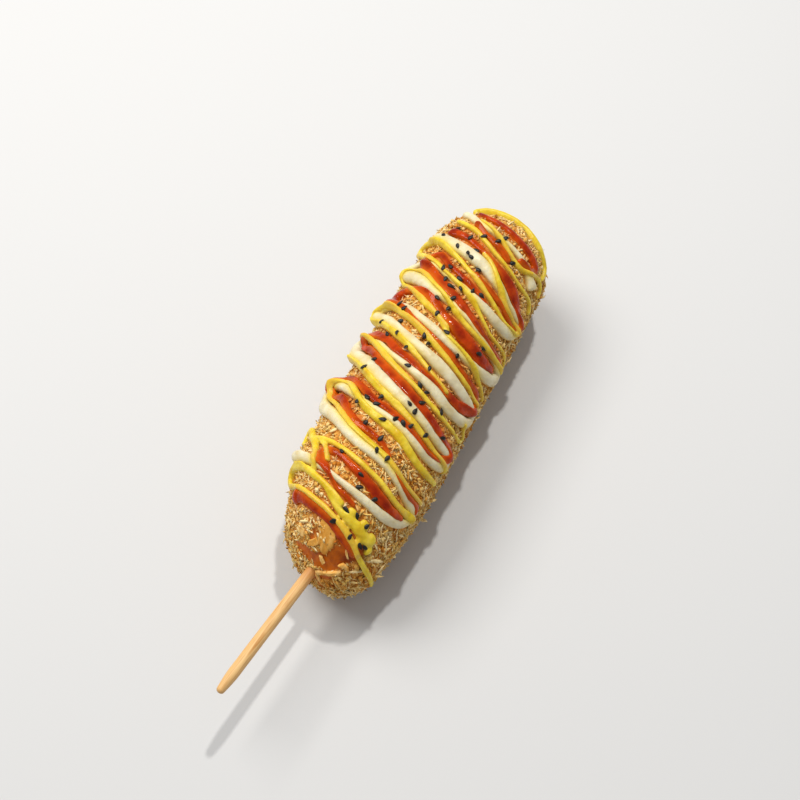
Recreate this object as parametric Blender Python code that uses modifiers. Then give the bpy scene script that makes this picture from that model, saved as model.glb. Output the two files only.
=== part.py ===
"""A crumb-coated corn dog on a wooden stick, with three zigzag beads of sauce over its top.

Metres, +Z up. The corn dog lies on its side on a small flat spot, the sauced side up. Its long axis
runs along X, stick towards -X, and the origin is the middle of the underside of the whole.

Places on the crust are given as (x, arc) in millimetres: x runs along the body from its stick end,
and arc is the way round the crust from its top line, positive towards +Y.
"""

import bmesh
import bpy
import numpy as np
from mathutils import Matrix, Vector

MM = 0.001

# Body, in millimetres
BODY_LENGTH = 159.0
BODY_RADIUS = 24.5  # to the middle of the crumb coat
AXIS_HEIGHT = 24.2  # a little less than the radius, which leaves the flat spot
STICK_END = (32.0, 2.4)  # length of the rounding, and how square it is
FAR_END = (24.0, 2.4)
BOW = 1.5  # how far each end of the body swings sideways
DROOP = 2.0  # how far the stick end of the axis sinks
DROOP_LENGTH = 64.0
SKEW_Y, SKEW_Z, SKEW_LENGTH = 0.26, 0.28, 40.0  # the stick end bulges low and towards -Y
PINCH_SIDES = (0.35, 0.95)  # how far round from top or bottom, as a sine, a pinch begins and is full
LEFT_PINCH = (0.13, 0.0, 9.0, 14.0, 34.0)  # its depth as a share, then where along the body
RIGHT_PINCH = (0.07, 7.0, 18.0, 24.0, 42.0)  # it begins, is full, begins to fade and ends
LUMP_DEPTH, LUMP_SIZE = 0.9, 9.0  # of the crumb coat
ROWS, STEPS = 28, 28  # of the turned form
ORIGIN_X = 53.5  # from the stick end of the body to the middle of the whole
ORIGIN_Y = -0.9

# Stick, in millimetres
STICK_DIAMETER = 4.1
STICK_SHOWN = 52.5
STICK_HELD = 24.0  # inside the body
STICK_YAW, STICK_PITCH = 7.0, 4.0  # degrees
TIP_TAPER, TIP_DIAMETER, TIP_ROUND = 9.0, 2.6, 1.0

# Sauces, in millimetres
GAP = 0.35  # between touching pieces
POINT_SPACING = 8.0  # along a stroke
POINT_TURN = 65.0  # degrees between points round a turn
STROKE_LAW = 1.6  # a stroke leaves the -Y side square and leans over more and more
ARC_RADIUS = 24.0  # the radius that the arcs are measured at

# One stroke: x and arc at its -Y end, then x and arc at its +Y end.
MAYONNAISE_STROKES = (
    (22.0, -25, 29.5, 18), (31.5, -24, 52.5, 23), (47.5, -26, 63.0, 23), (55.0, -25, 78.0, 24),
    (68.0, -27, 84.5, 23), (76.0, -27, 94.5, 23), (88.5, -27, 102.0, 22), (99.5, -28, 115.0, 23),
    (109.0, -26, 121.0, 20), (119.5, -26, 134.5, 19), (134.5, -22, 148.5, 13),
)
KETCHUP_STROKES = (
    (7.2, -20, 12.6, 19), (16.0, -18, 28.5, 10.5), (25.5, -24, 33.5, 10), (34.0, -25, 56.5, 24),
    (50.0, -24, 65.0, 24), (58.0, -25, 80.0, 23), (72.0, -27, 87.0, 22), (82.5, -26, 103.5, 22),
    (93.0, -26, 110.0, 20), (101.5, -27, 119.5, 15), (112.5, -21, 127.0, 15), (124.0, -20, 138.0, 12),
    (133.5, -14, 144.0, 5), (141.8, -19, 151.5, 8),
)
MUSTARD_STROKES = (
    (8.4, -24, 16.8, 19), (13.4, -19, 24.5, 17), (20.0, -12, 34.0, 18.5), (28.4, -28, 39.0, 16),
    (35.0, -28, 57.0, 25), (43.8, -28, 64.5, 23), (51.8, -28, 74.0, 23), (63.5, -28, 84.5, 23),
    (71.5, -27, 92.5, 23), (80.0, -28, 101.0, 22), (87.0, -26, 110.0, 20), (97.8, -28, 117.5, 19),
    (103.5, -29, 128.0, 20), (115.0, -27, 134.0, 17), (128.8, -28, 144.0, 14), (134.5, -21, 148.5, 8),
    (145.0, -25, 155.5, 3),
)


def ease(start, end, value):
    """A smooth step from 0 at start to 1 at end, either way round."""
    share = np.clip((value - start) / (end - start), 0, 1)
    return share * share * (3 - 2 * share)


def radius_at(x):
    """Radius of the turned form at x: a straight barrel with a superellipse at each end."""
    (near_length, near_power), (far_length, far_power) = STICK_END, FAR_END
    near = np.clip((near_length - x) / near_length, 0, 1) ** near_power
    far = np.clip((x - BODY_LENGTH + far_length) / far_length, 0, 1) ** far_power
    return BODY_RADIUS * (1 - near) ** (1 / near_power) * (1 - far) ** (1 / far_power)


def pinched(x, across, up):
    """How much each side draws in near the stick end, as a share of the way across."""
    round_from_top = np.abs(across) / np.maximum(np.hypot(across, up), 1e-9)
    left, right = (
        depth * ease(start, full, x) * ease(end, fade, x)
        for depth, start, full, fade, end in (LEFT_PINCH, RIGHT_PINCH)
    )
    return np.where(across > 0, left, right) * ease(*PINCH_SIDES, round_from_top)


def bent(x, across, up):
    """Points of the straight turned form moved onto the slightly bent, skewed body, in metres.

    x is along the form, across and up are measured from its axis. The axis bows to one side at each
    end and droops towards the stick, and the stick end leans so that its lower -Y side sticks out
    and is drawn in at both sides behind its rounding.
    """
    along = (x - BODY_LENGTH / 2) / (BODY_LENGTH / 2)
    bow = -BOW * np.sign(along) * along**2
    droop = -DROOP * np.clip(1 - x / DROOP_LENGTH, 0, 1) ** 2
    skew = np.clip(1 - x / SKEW_LENGTH, 0, 1) ** 1.5 * (SKEW_Y * across + SKEW_Z * up)
    across = across * (1 - pinched(x, across, up))
    return MM * np.stack(
        [x + skew - ORIGIN_X, bow + across - ORIGIN_Y, AXIS_HEIGHT + droop + up], axis=-1
    )


def on_crust(plane, height):
    """Points at (x, arc) on the body, raised by height along its radius, in metres."""
    x, angle = plane[:, 0], plane[:, 1] / ARC_RADIUS
    reach = radius_at(x) + height
    return bent(x, reach * np.sin(angle), reach * np.cos(angle))


def material(name, colour, roughness):
    """A Principled material from a linear colour and a roughness."""
    made = bpy.data.materials.new(name)
    made.use_nodes = True
    shader = made.node_tree.nodes["Principled BSDF"]
    shader.inputs["Base Color"].default_value = (*colour, 1.0)
    shader.inputs["Roughness"].default_value = roughness
    shader.inputs["Metallic"].default_value = 0.0
    return made


def new_object(name, data, collection, finish=None):
    """An object of the data in the collection, with its material."""
    made = bpy.data.objects.new(name, data)
    collection.objects.link(made)
    if finish:
        data.materials.append(finish)
    return made


def as_cutter(piece):
    """Marks a piece as a cutter or guide, which is no part of the object."""
    piece.hide_render = True
    piece.display_type = "WIRE"
    return piece


def baked(piece):
    """The piece as one plain mesh, its modifiers applied and its loose caps welded."""
    scene = bpy.context.evaluated_depsgraph_get()
    mesh = bpy.data.meshes.new_from_object(piece.evaluated_get(scene))
    shape = bmesh.new()
    shape.from_mesh(mesh)
    bmesh.ops.remove_doubles(shape, verts=shape.verts, dist=0.00001)
    bmesh.ops.recalc_face_normals(shape, faces=shape.faces)
    shape.to_mesh(mesh)
    shape.free()
    made = bpy.data.objects.new(piece.name, mesh)
    made.matrix_world = piece.matrix_world
    for collection in piece.users_collection:
        collection.objects.link(made)
    name = piece.name
    bpy.data.objects.remove(piece)
    made.name = name
    return made


def biggest_body(piece):
    """Removes all but the largest connected body of a mesh, such as slivers that a cut leaves."""
    shape = bmesh.new()
    shape.from_mesh(piece.data)
    left, bodies = set(shape.verts), []
    while left:
        front = [left.pop()]
        body = set(front)
        while front:
            here = front.pop()
            near = {link.other_vert(here) for link in here.link_edges} - body
            body |= near
            front += near
        left -= body
        bodies.append(body)
    bodies.sort(key=len)
    bmesh.ops.delete(shape, geom=[v for body in bodies[:-1] for v in body], context="VERTS")
    shape.to_mesh(piece.data)
    shape.free()
    return piece


def turned(name, profile, steps, collection, finish=None):
    """A profile of (radius, height) points, top to bottom, turned about Z with a Screw modifier."""
    mesh = bpy.data.meshes.new(name)
    mesh.from_pydata([(r, 0.0, z) for r, z in profile], [(i, i + 1) for i in range(len(profile) - 1)], [])
    piece = new_object(name, mesh, collection, finish)
    screw = piece.modifiers.new("turn", "SCREW")
    screw.steps = screw.render_steps = steps
    screw.use_merge_vertices = True
    screw.merge_threshold = 0.00001
    return piece


def body_profile():
    """The body's outer side from far end to stick end, with rows closer together on the round ends."""
    share = np.linspace(0, 1, ROWS + 1)
    x = BODY_LENGTH * (share - 0.115 * np.sin(2 * np.pi * share))
    return [(MM * float(radius_at(v)), MM * float(v)) for v in x[::-1]]


def make_body(collection, cutters, finish):
    """The fried body: turned, bent, lumpy with crumbs, cut flat below and bored for the stick."""
    body = baked(turned("fried_body", body_profile(), STEPS, collection, finish))
    flat = np.empty(len(body.data.vertices) * 3)
    body.data.vertices.foreach_get("co", flat)
    along = flat.reshape(-1, 3) / MM
    points = bent(along[:, 2], along[:, 1], along[:, 0])
    body.data.vertices.foreach_set("co", points.ravel())
    body.data.flip_normals()
    body.data.update()

    lumps = bpy.data.textures.new("crumb_lumps", "CLOUDS")
    lumps.noise_scale = MM * LUMP_SIZE
    lumps.noise_depth = 1
    rough = body.modifiers.new("crumb_lumps", "DISPLACE")
    rough.texture = lumps
    rough.texture_coords = "LOCAL"
    rough.strength = MM * LUMP_DEPTH
    rough.mid_level = 0.5

    bpy.ops.mesh.primitive_cube_add(size=1.0)
    floor = as_cutter(bpy.context.object)
    floor.name = "flat_spot_cutter"
    floor.data.transform(Matrix.Diagonal((MM * 300, MM * 100, MM * 20, 1)))
    floor.location = (0, 0, -MM * 10)

    bpy.ops.mesh.primitive_cylinder_add(vertices=12, radius=MM * (STICK_DIAMETER / 2 + GAP), depth=1.0)
    bore = as_cutter(bpy.context.object)
    bore.name = "stick_bore_cutter"
    bore.data.transform(Matrix.Diagonal((1, 1, MM * (STICK_HELD + GAP + 12), 1)))
    bore.matrix_world = stick_matrix((12 - STICK_HELD - GAP) / 2)
    for cutter in (floor, bore):
        for old in cutter.users_collection:
            old.objects.unlink(cutter)
        cutters.objects.link(cutter)
        cut = body.modifiers.new(cutter.name, "BOOLEAN")
        cut.operation = "DIFFERENCE"
        cut.solver = "EXACT"
        cut.object = cutter
    body.data.shade_smooth()
    return body


def stick_matrix(along):
    """Where the stick's own +Z points out of the body, at a distance along it from the body's end."""
    yaw, pitch = np.radians([STICK_YAW, STICK_PITCH])
    out = Vector((-np.cos(yaw) * np.cos(pitch), np.sin(yaw) * np.cos(pitch), np.sin(pitch)))
    root = Vector(bent(np.array(0.0), np.array(0.0), np.array(0.0)))
    turn = out.to_track_quat("Z", "Y").to_matrix().to_4x4()
    return Matrix.Translation(root + MM * along * out) @ turn


def make_stick(collection, finish):
    """The round stick with its blunt, slightly tapered tip."""
    r, tip = STICK_DIAMETER / 2, TIP_DIAMETER / 2
    rounding = [
        (tip - TIP_ROUND * (1 - np.sin(a)), STICK_SHOWN - TIP_ROUND * (1 - np.cos(a)))
        for a in np.linspace(0, np.pi / 2, 4)
    ]
    taper = [
        (tip + (r - tip) * np.sin(t * np.pi / 2), STICK_SHOWN - TIP_ROUND - TIP_TAPER * t)
        for t in (0.35, 0.7, 1.0)
    ]
    profile = [(0.0, STICK_SHOWN), *rounding, *taper, (r, 0.0), (r, -STICK_HELD), (0.0, -STICK_HELD)]
    stick = turned("stick", [(MM * a, MM * b) for a, b in profile], 12, collection, finish)
    stick.matrix_world = stick_matrix(0.0)
    stick.data.shade_smooth()
    return stick


def stroke(x_right, arc_right, x_left, arc_left, count=7):
    """One sweep of the bottle over the top, as (x, arc) points from its -Y end to its +Y end."""
    share = np.linspace(0, 1, count)
    return np.column_stack(
        [x_right + (x_left - x_right) * share**STROKE_LAW, arc_right + (arc_left - arc_right) * share]
    )


def zigzag(strokes, from_left):
    """The strokes joined end to end, each turn rounded through a point beyond its two ends."""
    points = []
    for i, ends in enumerate(strokes):
        line = stroke(*ends)
        to_right = (i % 2 == 0) == from_left
        if to_right:
            line = line[::-1]
        if points:
            side = 1 if to_right else -1
            pair = np.array([points[-1][-1], line[0]])
            across = np.linalg.norm(pair[1] - pair[0])
            points.append(pair.mean(axis=0)[None] + [0, side * 0.45 * across])
        points.append(line)
    return np.concatenate(points)


def smoothed(points, spacing):
    """A Catmull-Rom curve through the points, read at an even spacing."""
    ends = np.vstack([2 * points[0] - points[1], points, 2 * points[-1] - points[-2]])
    a, b, c, d = ends[:-3, None], ends[1:-2, None], ends[2:-1, None], ends[3:, None]
    t = np.linspace(0, 1, 12, endpoint=False)[None, :, None]
    curve = 0.5 * (2 * b + (c - a) * t + (2 * a - 5 * b + 4 * c - d) * t**2 + (3 * (b - c) + d - a) * t**3)
    curve = np.vstack([curve.reshape(-1, points.shape[1]), points[-1:]])
    run = np.concatenate([[0], np.cumsum(np.linalg.norm(np.diff(curve, axis=0), axis=1))])
    even = np.linspace(0, run[-1], max(2, round(run[-1] / spacing) + 1))
    return np.column_stack([np.interp(even, run, curve[:, k]) for k in range(points.shape[1])])


class Bead:
    """A squeezed bead of sauce: its path on the crust, its size and what it lies over."""

    def __init__(self, name, strokes, from_left, width, rise, press, below):
        """Settles the path, then lifts it over the beads below, pressed into them a little."""
        self.name, self.width = name, width
        fine = smoothed(zigzag(strokes, from_left), 1.0)
        roof = np.zeros(len(fine))
        for bead in below:
            gap = np.linalg.norm(fine[:, None] - bead.path[None], axis=2)
            reach = bead.width / 2 + 0.5 * width
            dome = bead.top[None] * np.sqrt(np.clip(1 - (gap / reach) ** 2, 0, 1))
            roof = np.maximum(roof, (1 - press) * dome.max(axis=1))
        padded = np.pad(roof, 3, mode="edge")
        roof = np.max([padded[k : k + len(roof)] for k in range(7)], axis=0)
        padded = np.pad(roof, 3, mode="edge")
        roof = np.mean([padded[k : k + len(roof)] for k in range(7)], axis=0)
        self.path, self.height = fine, rise + roof
        self.top = self.height + width / 2

    def ring_places(self):
        """Which fine points become rings: evenly spaced on a stroke, closer together round a turn."""
        run = np.diff(self.path, axis=0, prepend=2 * self.path[:1] - self.path[1:2])
        heading = np.degrees(np.unwrap(np.arctan2(run[:, 1], run[:, 0])))
        need = np.linalg.norm(run, axis=1) / POINT_SPACING
        need += np.abs(np.diff(heading, prepend=heading[0])) / POINT_TURN
        need = np.cumsum(need) - need[0]
        marks = np.linspace(0, need[-1], int(np.ceil(need[-1])) + 1)
        return np.unique(np.searchsorted(need, marks).clip(0, len(need) - 1))

    def curve(self, collection, finish):
        """The bead as a bevelled curve, its ends rounded off and its width a little uneven."""
        keep = self.ring_places()
        places = on_crust(self.path[keep], self.height[keep])
        size = 1 + 0.08 * np.sin(keep * 0.11) + 0.05 * np.sin(keep * 0.31 + 1)
        size[[0, -1]] *= 0.6
        data = bpy.data.curves.new(self.name, "CURVE")
        data.dimensions = "3D"
        data.bevel_depth = MM * self.width / 2
        data.bevel_resolution = 1
        data.use_fill_caps = True
        spline = data.splines.new("POLY")
        spline.points.add(len(places) - 1)
        spline.points.foreach_set("co", np.column_stack([places, np.ones(len(places))]).ravel())
        spline.points.foreach_set("radius", size)
        return new_object(self.name, data, collection, finish)

    def build(self, collection, cutters, finish, body, below):
        """The bead pushed clear of the crust and cut by what lies under it.

        Args: the collections, the material, the body, and a list of the bead objects below.
        Returns: the finished bead, and a slightly larger copy that cuts the beads above.
        """
        piece = baked(self.curve(collection, finish))
        wrap = piece.modifiers.new("rest_on_crust", "SHRINKWRAP")
        wrap.target = body
        wrap.wrap_method = "NEAREST_SURFACEPOINT"
        wrap.wrap_mode = "OUTSIDE"
        wrap.offset = MM * (GAP + 0.4)
        for guard in below:
            cut = piece.modifiers.new(guard.name, "BOOLEAN")
            cut.operation = "DIFFERENCE"
            cut.solver = "MANIFOLD"
            cut.object = guard
        piece = biggest_body(baked(piece))
        piece.data.shade_smooth()
        guard = as_cutter(new_object(self.name + "_clearance", piece.data.copy(), cutters))
        grow = guard.modifiers.new("clearance", "DISPLACE")
        grow.strength = MM * GAP
        grow.mid_level = 0.0
        return piece, guard


def main():
    """Builds the corn dog from the inside out: body, stick, then each sauce over the one before."""
    for old in list(bpy.data.objects):
        bpy.data.objects.remove(old)
    parts = bpy.data.collections.new("corn_dog")
    cutters = bpy.data.collections.new("cutters")
    for collection in (parts, cutters):
        bpy.context.scene.collection.children.link(collection)

    body = make_body(parts, cutters, material("fried_crumb", (0.45, 0.19, 0.061), 0.75))
    make_stick(parts, material("bamboo", (0.75, 0.44, 0.15), 0.6))

    white = Bead("mayonnaise", MAYONNAISE_STROKES, True, 4.2, 0.0, 0.0, [])
    red = Bead("ketchup", KETCHUP_STROKES, True, 4.6, -0.1, -0.1, [white])
    yellow = Bead("mustard", MUSTARD_STROKES, False, 2.4, 0.5, -0.15, [white, red])
    guards = []
    for bead, colour, rough in (
        (white, (0.83, 0.75, 0.55), 0.35),
        (red, (0.6, 0.045, 0.008), 0.2),
        (yellow, (0.87, 0.68, 0.06), 0.35),
    ):
        _, guard = bead.build(parts, cutters, material(bead.name, colour, rough), body, guards)
        guards.append(guard)


main()
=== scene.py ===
"""A crumb-coated corn dog with mayonnaise, ketchup, mustard and black sesame, dressed for viewing.

The solid frame gives the place and the size. Every shape here is worked out as whole arrays: the crust
is a grid on a turned, slightly bent form, the sauces are beads carried along zigzag paths on it, and
the crumbs and seeds are many small bodies joined into a few meshes.

Lengths are millimetres until a mesh is made. A place on the crust is (run, arc): run is the length
along the crust's outline from the stick end, and arc is the way round it from the top line, positive
towards +Y, measured at a fixed radius.
"""

import logging
import math
from dataclasses import dataclass, field
from enum import Enum
from functools import cached_property
from typing import Any, Callable, Sequence

import bpy
import numpy as np
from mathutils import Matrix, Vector


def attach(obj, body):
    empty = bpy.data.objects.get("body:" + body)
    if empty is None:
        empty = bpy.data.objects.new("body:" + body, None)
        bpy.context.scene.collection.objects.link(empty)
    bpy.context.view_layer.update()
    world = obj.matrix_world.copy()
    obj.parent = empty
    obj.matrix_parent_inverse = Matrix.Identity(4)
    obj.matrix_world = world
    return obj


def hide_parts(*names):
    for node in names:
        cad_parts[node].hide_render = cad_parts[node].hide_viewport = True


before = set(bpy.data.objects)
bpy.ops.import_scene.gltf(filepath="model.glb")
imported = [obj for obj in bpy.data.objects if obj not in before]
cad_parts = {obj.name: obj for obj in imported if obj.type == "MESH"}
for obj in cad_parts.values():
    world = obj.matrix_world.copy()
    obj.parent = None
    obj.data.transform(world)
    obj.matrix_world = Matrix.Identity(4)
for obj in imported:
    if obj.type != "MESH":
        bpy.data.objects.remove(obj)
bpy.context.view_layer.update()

MM = 0.001
BODY = "root"
LOG = logging.getLogger("corn_dog")

Array = np.ndarray
Line = tuple[tuple[float, ...], ...]


# ---------------------------------------------------------------------------------------------------
# Numbers: smooth steps, hashed noise, blurred maps
# ---------------------------------------------------------------------------------------------------


def ease(low: float, high: float, value: Array) -> Array:
    """A smooth step from 0 at low to 1 at high: 3t squared less 2t cubed.

    Args:
        low: where the step starts.
        high: where it ends; below low, the step falls instead of rising.
        value: the numbers to step.

    Returns:
        The stepped numbers, each from 0 to 1.
    """
    share = np.clip((value - low) / (high - low), 0.0, 1.0)
    return share * share * (3.0 - 2.0 * share)


def lattice(cell: Array, seed: int) -> Array:
    """A hashed number from 0 to 1 for each whole-number cell.

    Args:
        cell: whole-number cells, (..., 3).
        seed: picks one of many such fields.

    Returns:
        One number for each cell.
    """
    x, y, z = (cell[..., k].astype(np.int64) for k in range(3))
    mixed = (x * 374761393 + y * 668265263 + z * 2147483647 + seed * 974634777) & 0xFFFFFFFF
    mixed = ((mixed ^ (mixed >> 13)) * 1274126177) & 0xFFFFFFFF
    return ((mixed ^ (mixed >> 16)) & 0xFFFFFF) / float(0xFFFFFF)


def soft_noise(points: Array, size: float, seed: int) -> Array:
    """Value noise: hashed cell corners, blended by a smooth step along each axis.

    Args:
        points: places, (..., 3).
        size: the cells' size, in the points' unit.
        seed: picks the field.

    Returns:
        Numbers from -1 to 1.
    """
    scaled = points / size + 1000.0
    cell = np.floor(scaled).astype(np.int64)
    part = scaled - cell
    part = part * part * (3.0 - 2.0 * part)
    total = np.zeros(points.shape[:-1])
    for corner in np.ndindex(2, 2, 2):
        weight = np.prod(np.where(corner, part, 1.0 - part), axis=-1)
        total += weight * lattice(cell + np.array(corner), seed)
    return 2.0 * total - 1.0


def cell_noise(points: Array, size: float, seed: int) -> Array:
    """Distance to the nearest of one hashed point a cell, which makes a field of small domes.

    Args:
        points: places, (..., 3).
        size: the cells' size, in the points' unit.
        seed: picks the field.

    Returns:
        Distances as shares of the cell size, 0 at a dome's middle.
    """
    scaled = points / size + 1000.0
    cell = np.floor(scaled).astype(np.int64)
    best = np.full(points.shape[:-1], 9.0)
    for step in np.ndindex(3, 3, 3):
        near = cell + np.array(step) - 1
        middle = near + np.stack([lattice(near, seed + k) for k in range(3)], axis=-1)
        best = np.minimum(best, ((middle - scaled) ** 2).sum(axis=-1))
    return np.sqrt(best)


def blurred(field_map: Array, spread: float) -> Array:
    """A map smoothed by a Gaussian, as a product of spectra.

    Args:
        field_map: the map, two-dimensional.
        spread: the Gaussian's standard deviation, in cells.

    Returns:
        The smoothed map, of the same shape.
    """
    rows, columns = (np.fft.fftfreq(field_map.shape[0]), np.fft.rfftfreq(field_map.shape[1]))
    fall = np.exp(-2.0 * (math.pi * spread) ** 2 * (rows[:, None] ** 2 + columns[None, :] ** 2))
    return np.fft.irfft2(np.fft.rfft2(field_map) * fall, field_map.shape)


# ---------------------------------------------------------------------------------------------------
# Meshes and materials
# ---------------------------------------------------------------------------------------------------


def srgb(code: str) -> tuple[float, float, float, float]:
    """An sRGB hex colour as linear red, green, blue and a full alpha.

    Args:
        code: six hex digits, with or without a leading #.

    Returns:
        The linear colour.
    """
    shares = [int(code.lstrip("#")[k : k + 2], 16) / 255.0 for k in (0, 2, 4)]
    linear = [s / 12.92 if s <= 0.04045 else ((s + 0.055) / 1.055) ** 2.4 for s in shares]
    return (linear[0], linear[1], linear[2], 1.0)


def add_node(
    tree: bpy.types.NodeTree,
    kind: str,
    settings: dict[str | int, Any] | None = None,
    links: dict[str | int, bpy.types.NodeSocket] | None = None,
) -> bpy.types.Node:
    """Adds a node, sets its fields and sockets, and joins its inputs.

    Args:
        tree: the material's node tree.
        kind: the node's type.
        settings: field names or input sockets, by name or place, and their values; "stops" is a list
            of (place, hex colour) pairs for a colour ramp.
        links: input sockets, by name or place, and the outputs that feed them.

    Returns:
        The new node.
    """
    made = tree.nodes.new(kind)
    for key, value in (settings or {}).items():
        if key == "stops":
            stops = made.color_ramp.elements
            while len(stops) < len(value):
                stops.new(0.5)
            for stop, (place, colour) in zip(stops, value):
                stop.position, stop.color = place, srgb(colour)
        elif isinstance(key, int) or key in made.inputs:
            made.inputs[key].default_value = value
        else:
            setattr(made, key, value)
    for key, source in (links or {}).items():
        tree.links.new(source, made.inputs[key])
    return made


def new_finish(name: str, shader: dict[str | int, Any]) -> tuple[bpy.types.Material, bpy.types.Node]:
    """A material with one Principled shader whose plain sockets are set.

    Args:
        name: the finish's name.
        shader: the shader's constant sockets.

    Returns:
        The material and its shader node.
    """
    material = bpy.data.materials.new(name)
    material.use_nodes = True
    principled = material.node_tree.nodes["Principled BSDF"]
    for key, value in shader.items():
        principled.inputs[key].default_value = value
    return material, principled


def new_piece(
    name: str,
    points: Array,
    faces: Array,
    finish: bpy.types.Material,
    slot: str,
    replaced: Sequence[str] = (),
    values: dict[str, Array] | None = None,
    smooth: bool = True,
) -> bpy.types.Object:
    """Makes one piece of the object from whole arrays, riding on the corn dog's body.

    Args:
        name: the piece's name.
        points: its points in millimetres, (n, 3).
        faces: its triangles or quads, (m, 3) or (m, 4).
        finish: its material.
        slot: the record's material slot; not used.
        replaced: the solid nodes that it stands for.
        values: named numbers, one for each point, that the material reads.
        smooth: whether its faces are shaded smooth.

    Returns:
        The new object.
    """
    mesh = bpy.data.meshes.new(name)
    sides = faces.shape[1]
    mesh.vertices.add(len(points))
    mesh.vertices.foreach_set("co", (points * MM).astype(np.float32).ravel())
    mesh.loops.add(faces.size)
    mesh.loops.foreach_set("vertex_index", faces.astype(np.int32).ravel())
    mesh.polygons.add(len(faces))
    mesh.polygons.foreach_set("loop_start", np.arange(0, faces.size, sides, dtype=np.int32))
    mesh.polygons.foreach_set("use_smooth", np.full(len(faces), smooth))
    mesh.update(calc_edges=True)
    mesh.validate()
    for key, numbers in (values or {}).items():
        mesh.attributes.new(key, "FLOAT", "POINT").data.foreach_set("value", numbers.astype(np.float32))
    mesh.materials.append(finish)
    piece = bpy.data.objects.new(name, mesh)
    bpy.context.scene.collection.objects.link(piece)
    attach(piece, BODY)
    if replaced:
        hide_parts(*replaced)
    LOG.info("%s: %d points, %d faces", name, len(points), len(faces))
    return piece


def wrapped_grid(rows: int, columns: int) -> Array:
    """Quads of a grid whose columns close on themselves.

    Args:
        rows: how many rows of points.
        columns: how many points a row.

    Returns:
        The quads, (m, 4), turning from each column to the next and then to the next row.
    """
    row, column = np.meshgrid(np.arange(rows - 1), np.arange(columns), indexing="ij")
    here, beside = row * columns + column, row * columns + (column + 1) % columns
    return np.stack([here, beside, beside + columns, here + columns], axis=-1).reshape(-1, 4)


def end_fan(ring: Array, tip: int, flip: bool) -> Array:
    """Triangles, as quads with a doubled corner left out, that close a ring to a tip point."""
    following = np.roll(ring, -1)
    pair = (following, ring) if flip else (ring, following)
    return np.stack([pair[0], pair[1], np.full(len(ring), tip)], axis=-1)


def closed_tube(rows: int, columns: int) -> Array:
    """Triangles of a tube whose two end rings are closed to a tip point each.

    Args:
        rows: how many rings.
        columns: how many points a ring.

    Returns:
        The triangles, (m, 3); the first ring's tip is point rows * columns, the last ring's is next.
    """
    quads = wrapped_grid(rows, columns)
    split = np.concatenate([quads[:, [0, 1, 2]], quads[:, [0, 2, 3]]])
    first = end_fan(np.arange(columns), rows * columns, True)
    last = end_fan(np.arange(columns) + (rows - 1) * columns, rows * columns + 1, False)
    return np.concatenate([split, first, last])


# ---------------------------------------------------------------------------------------------------
# The crust's form
# ---------------------------------------------------------------------------------------------------


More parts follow.
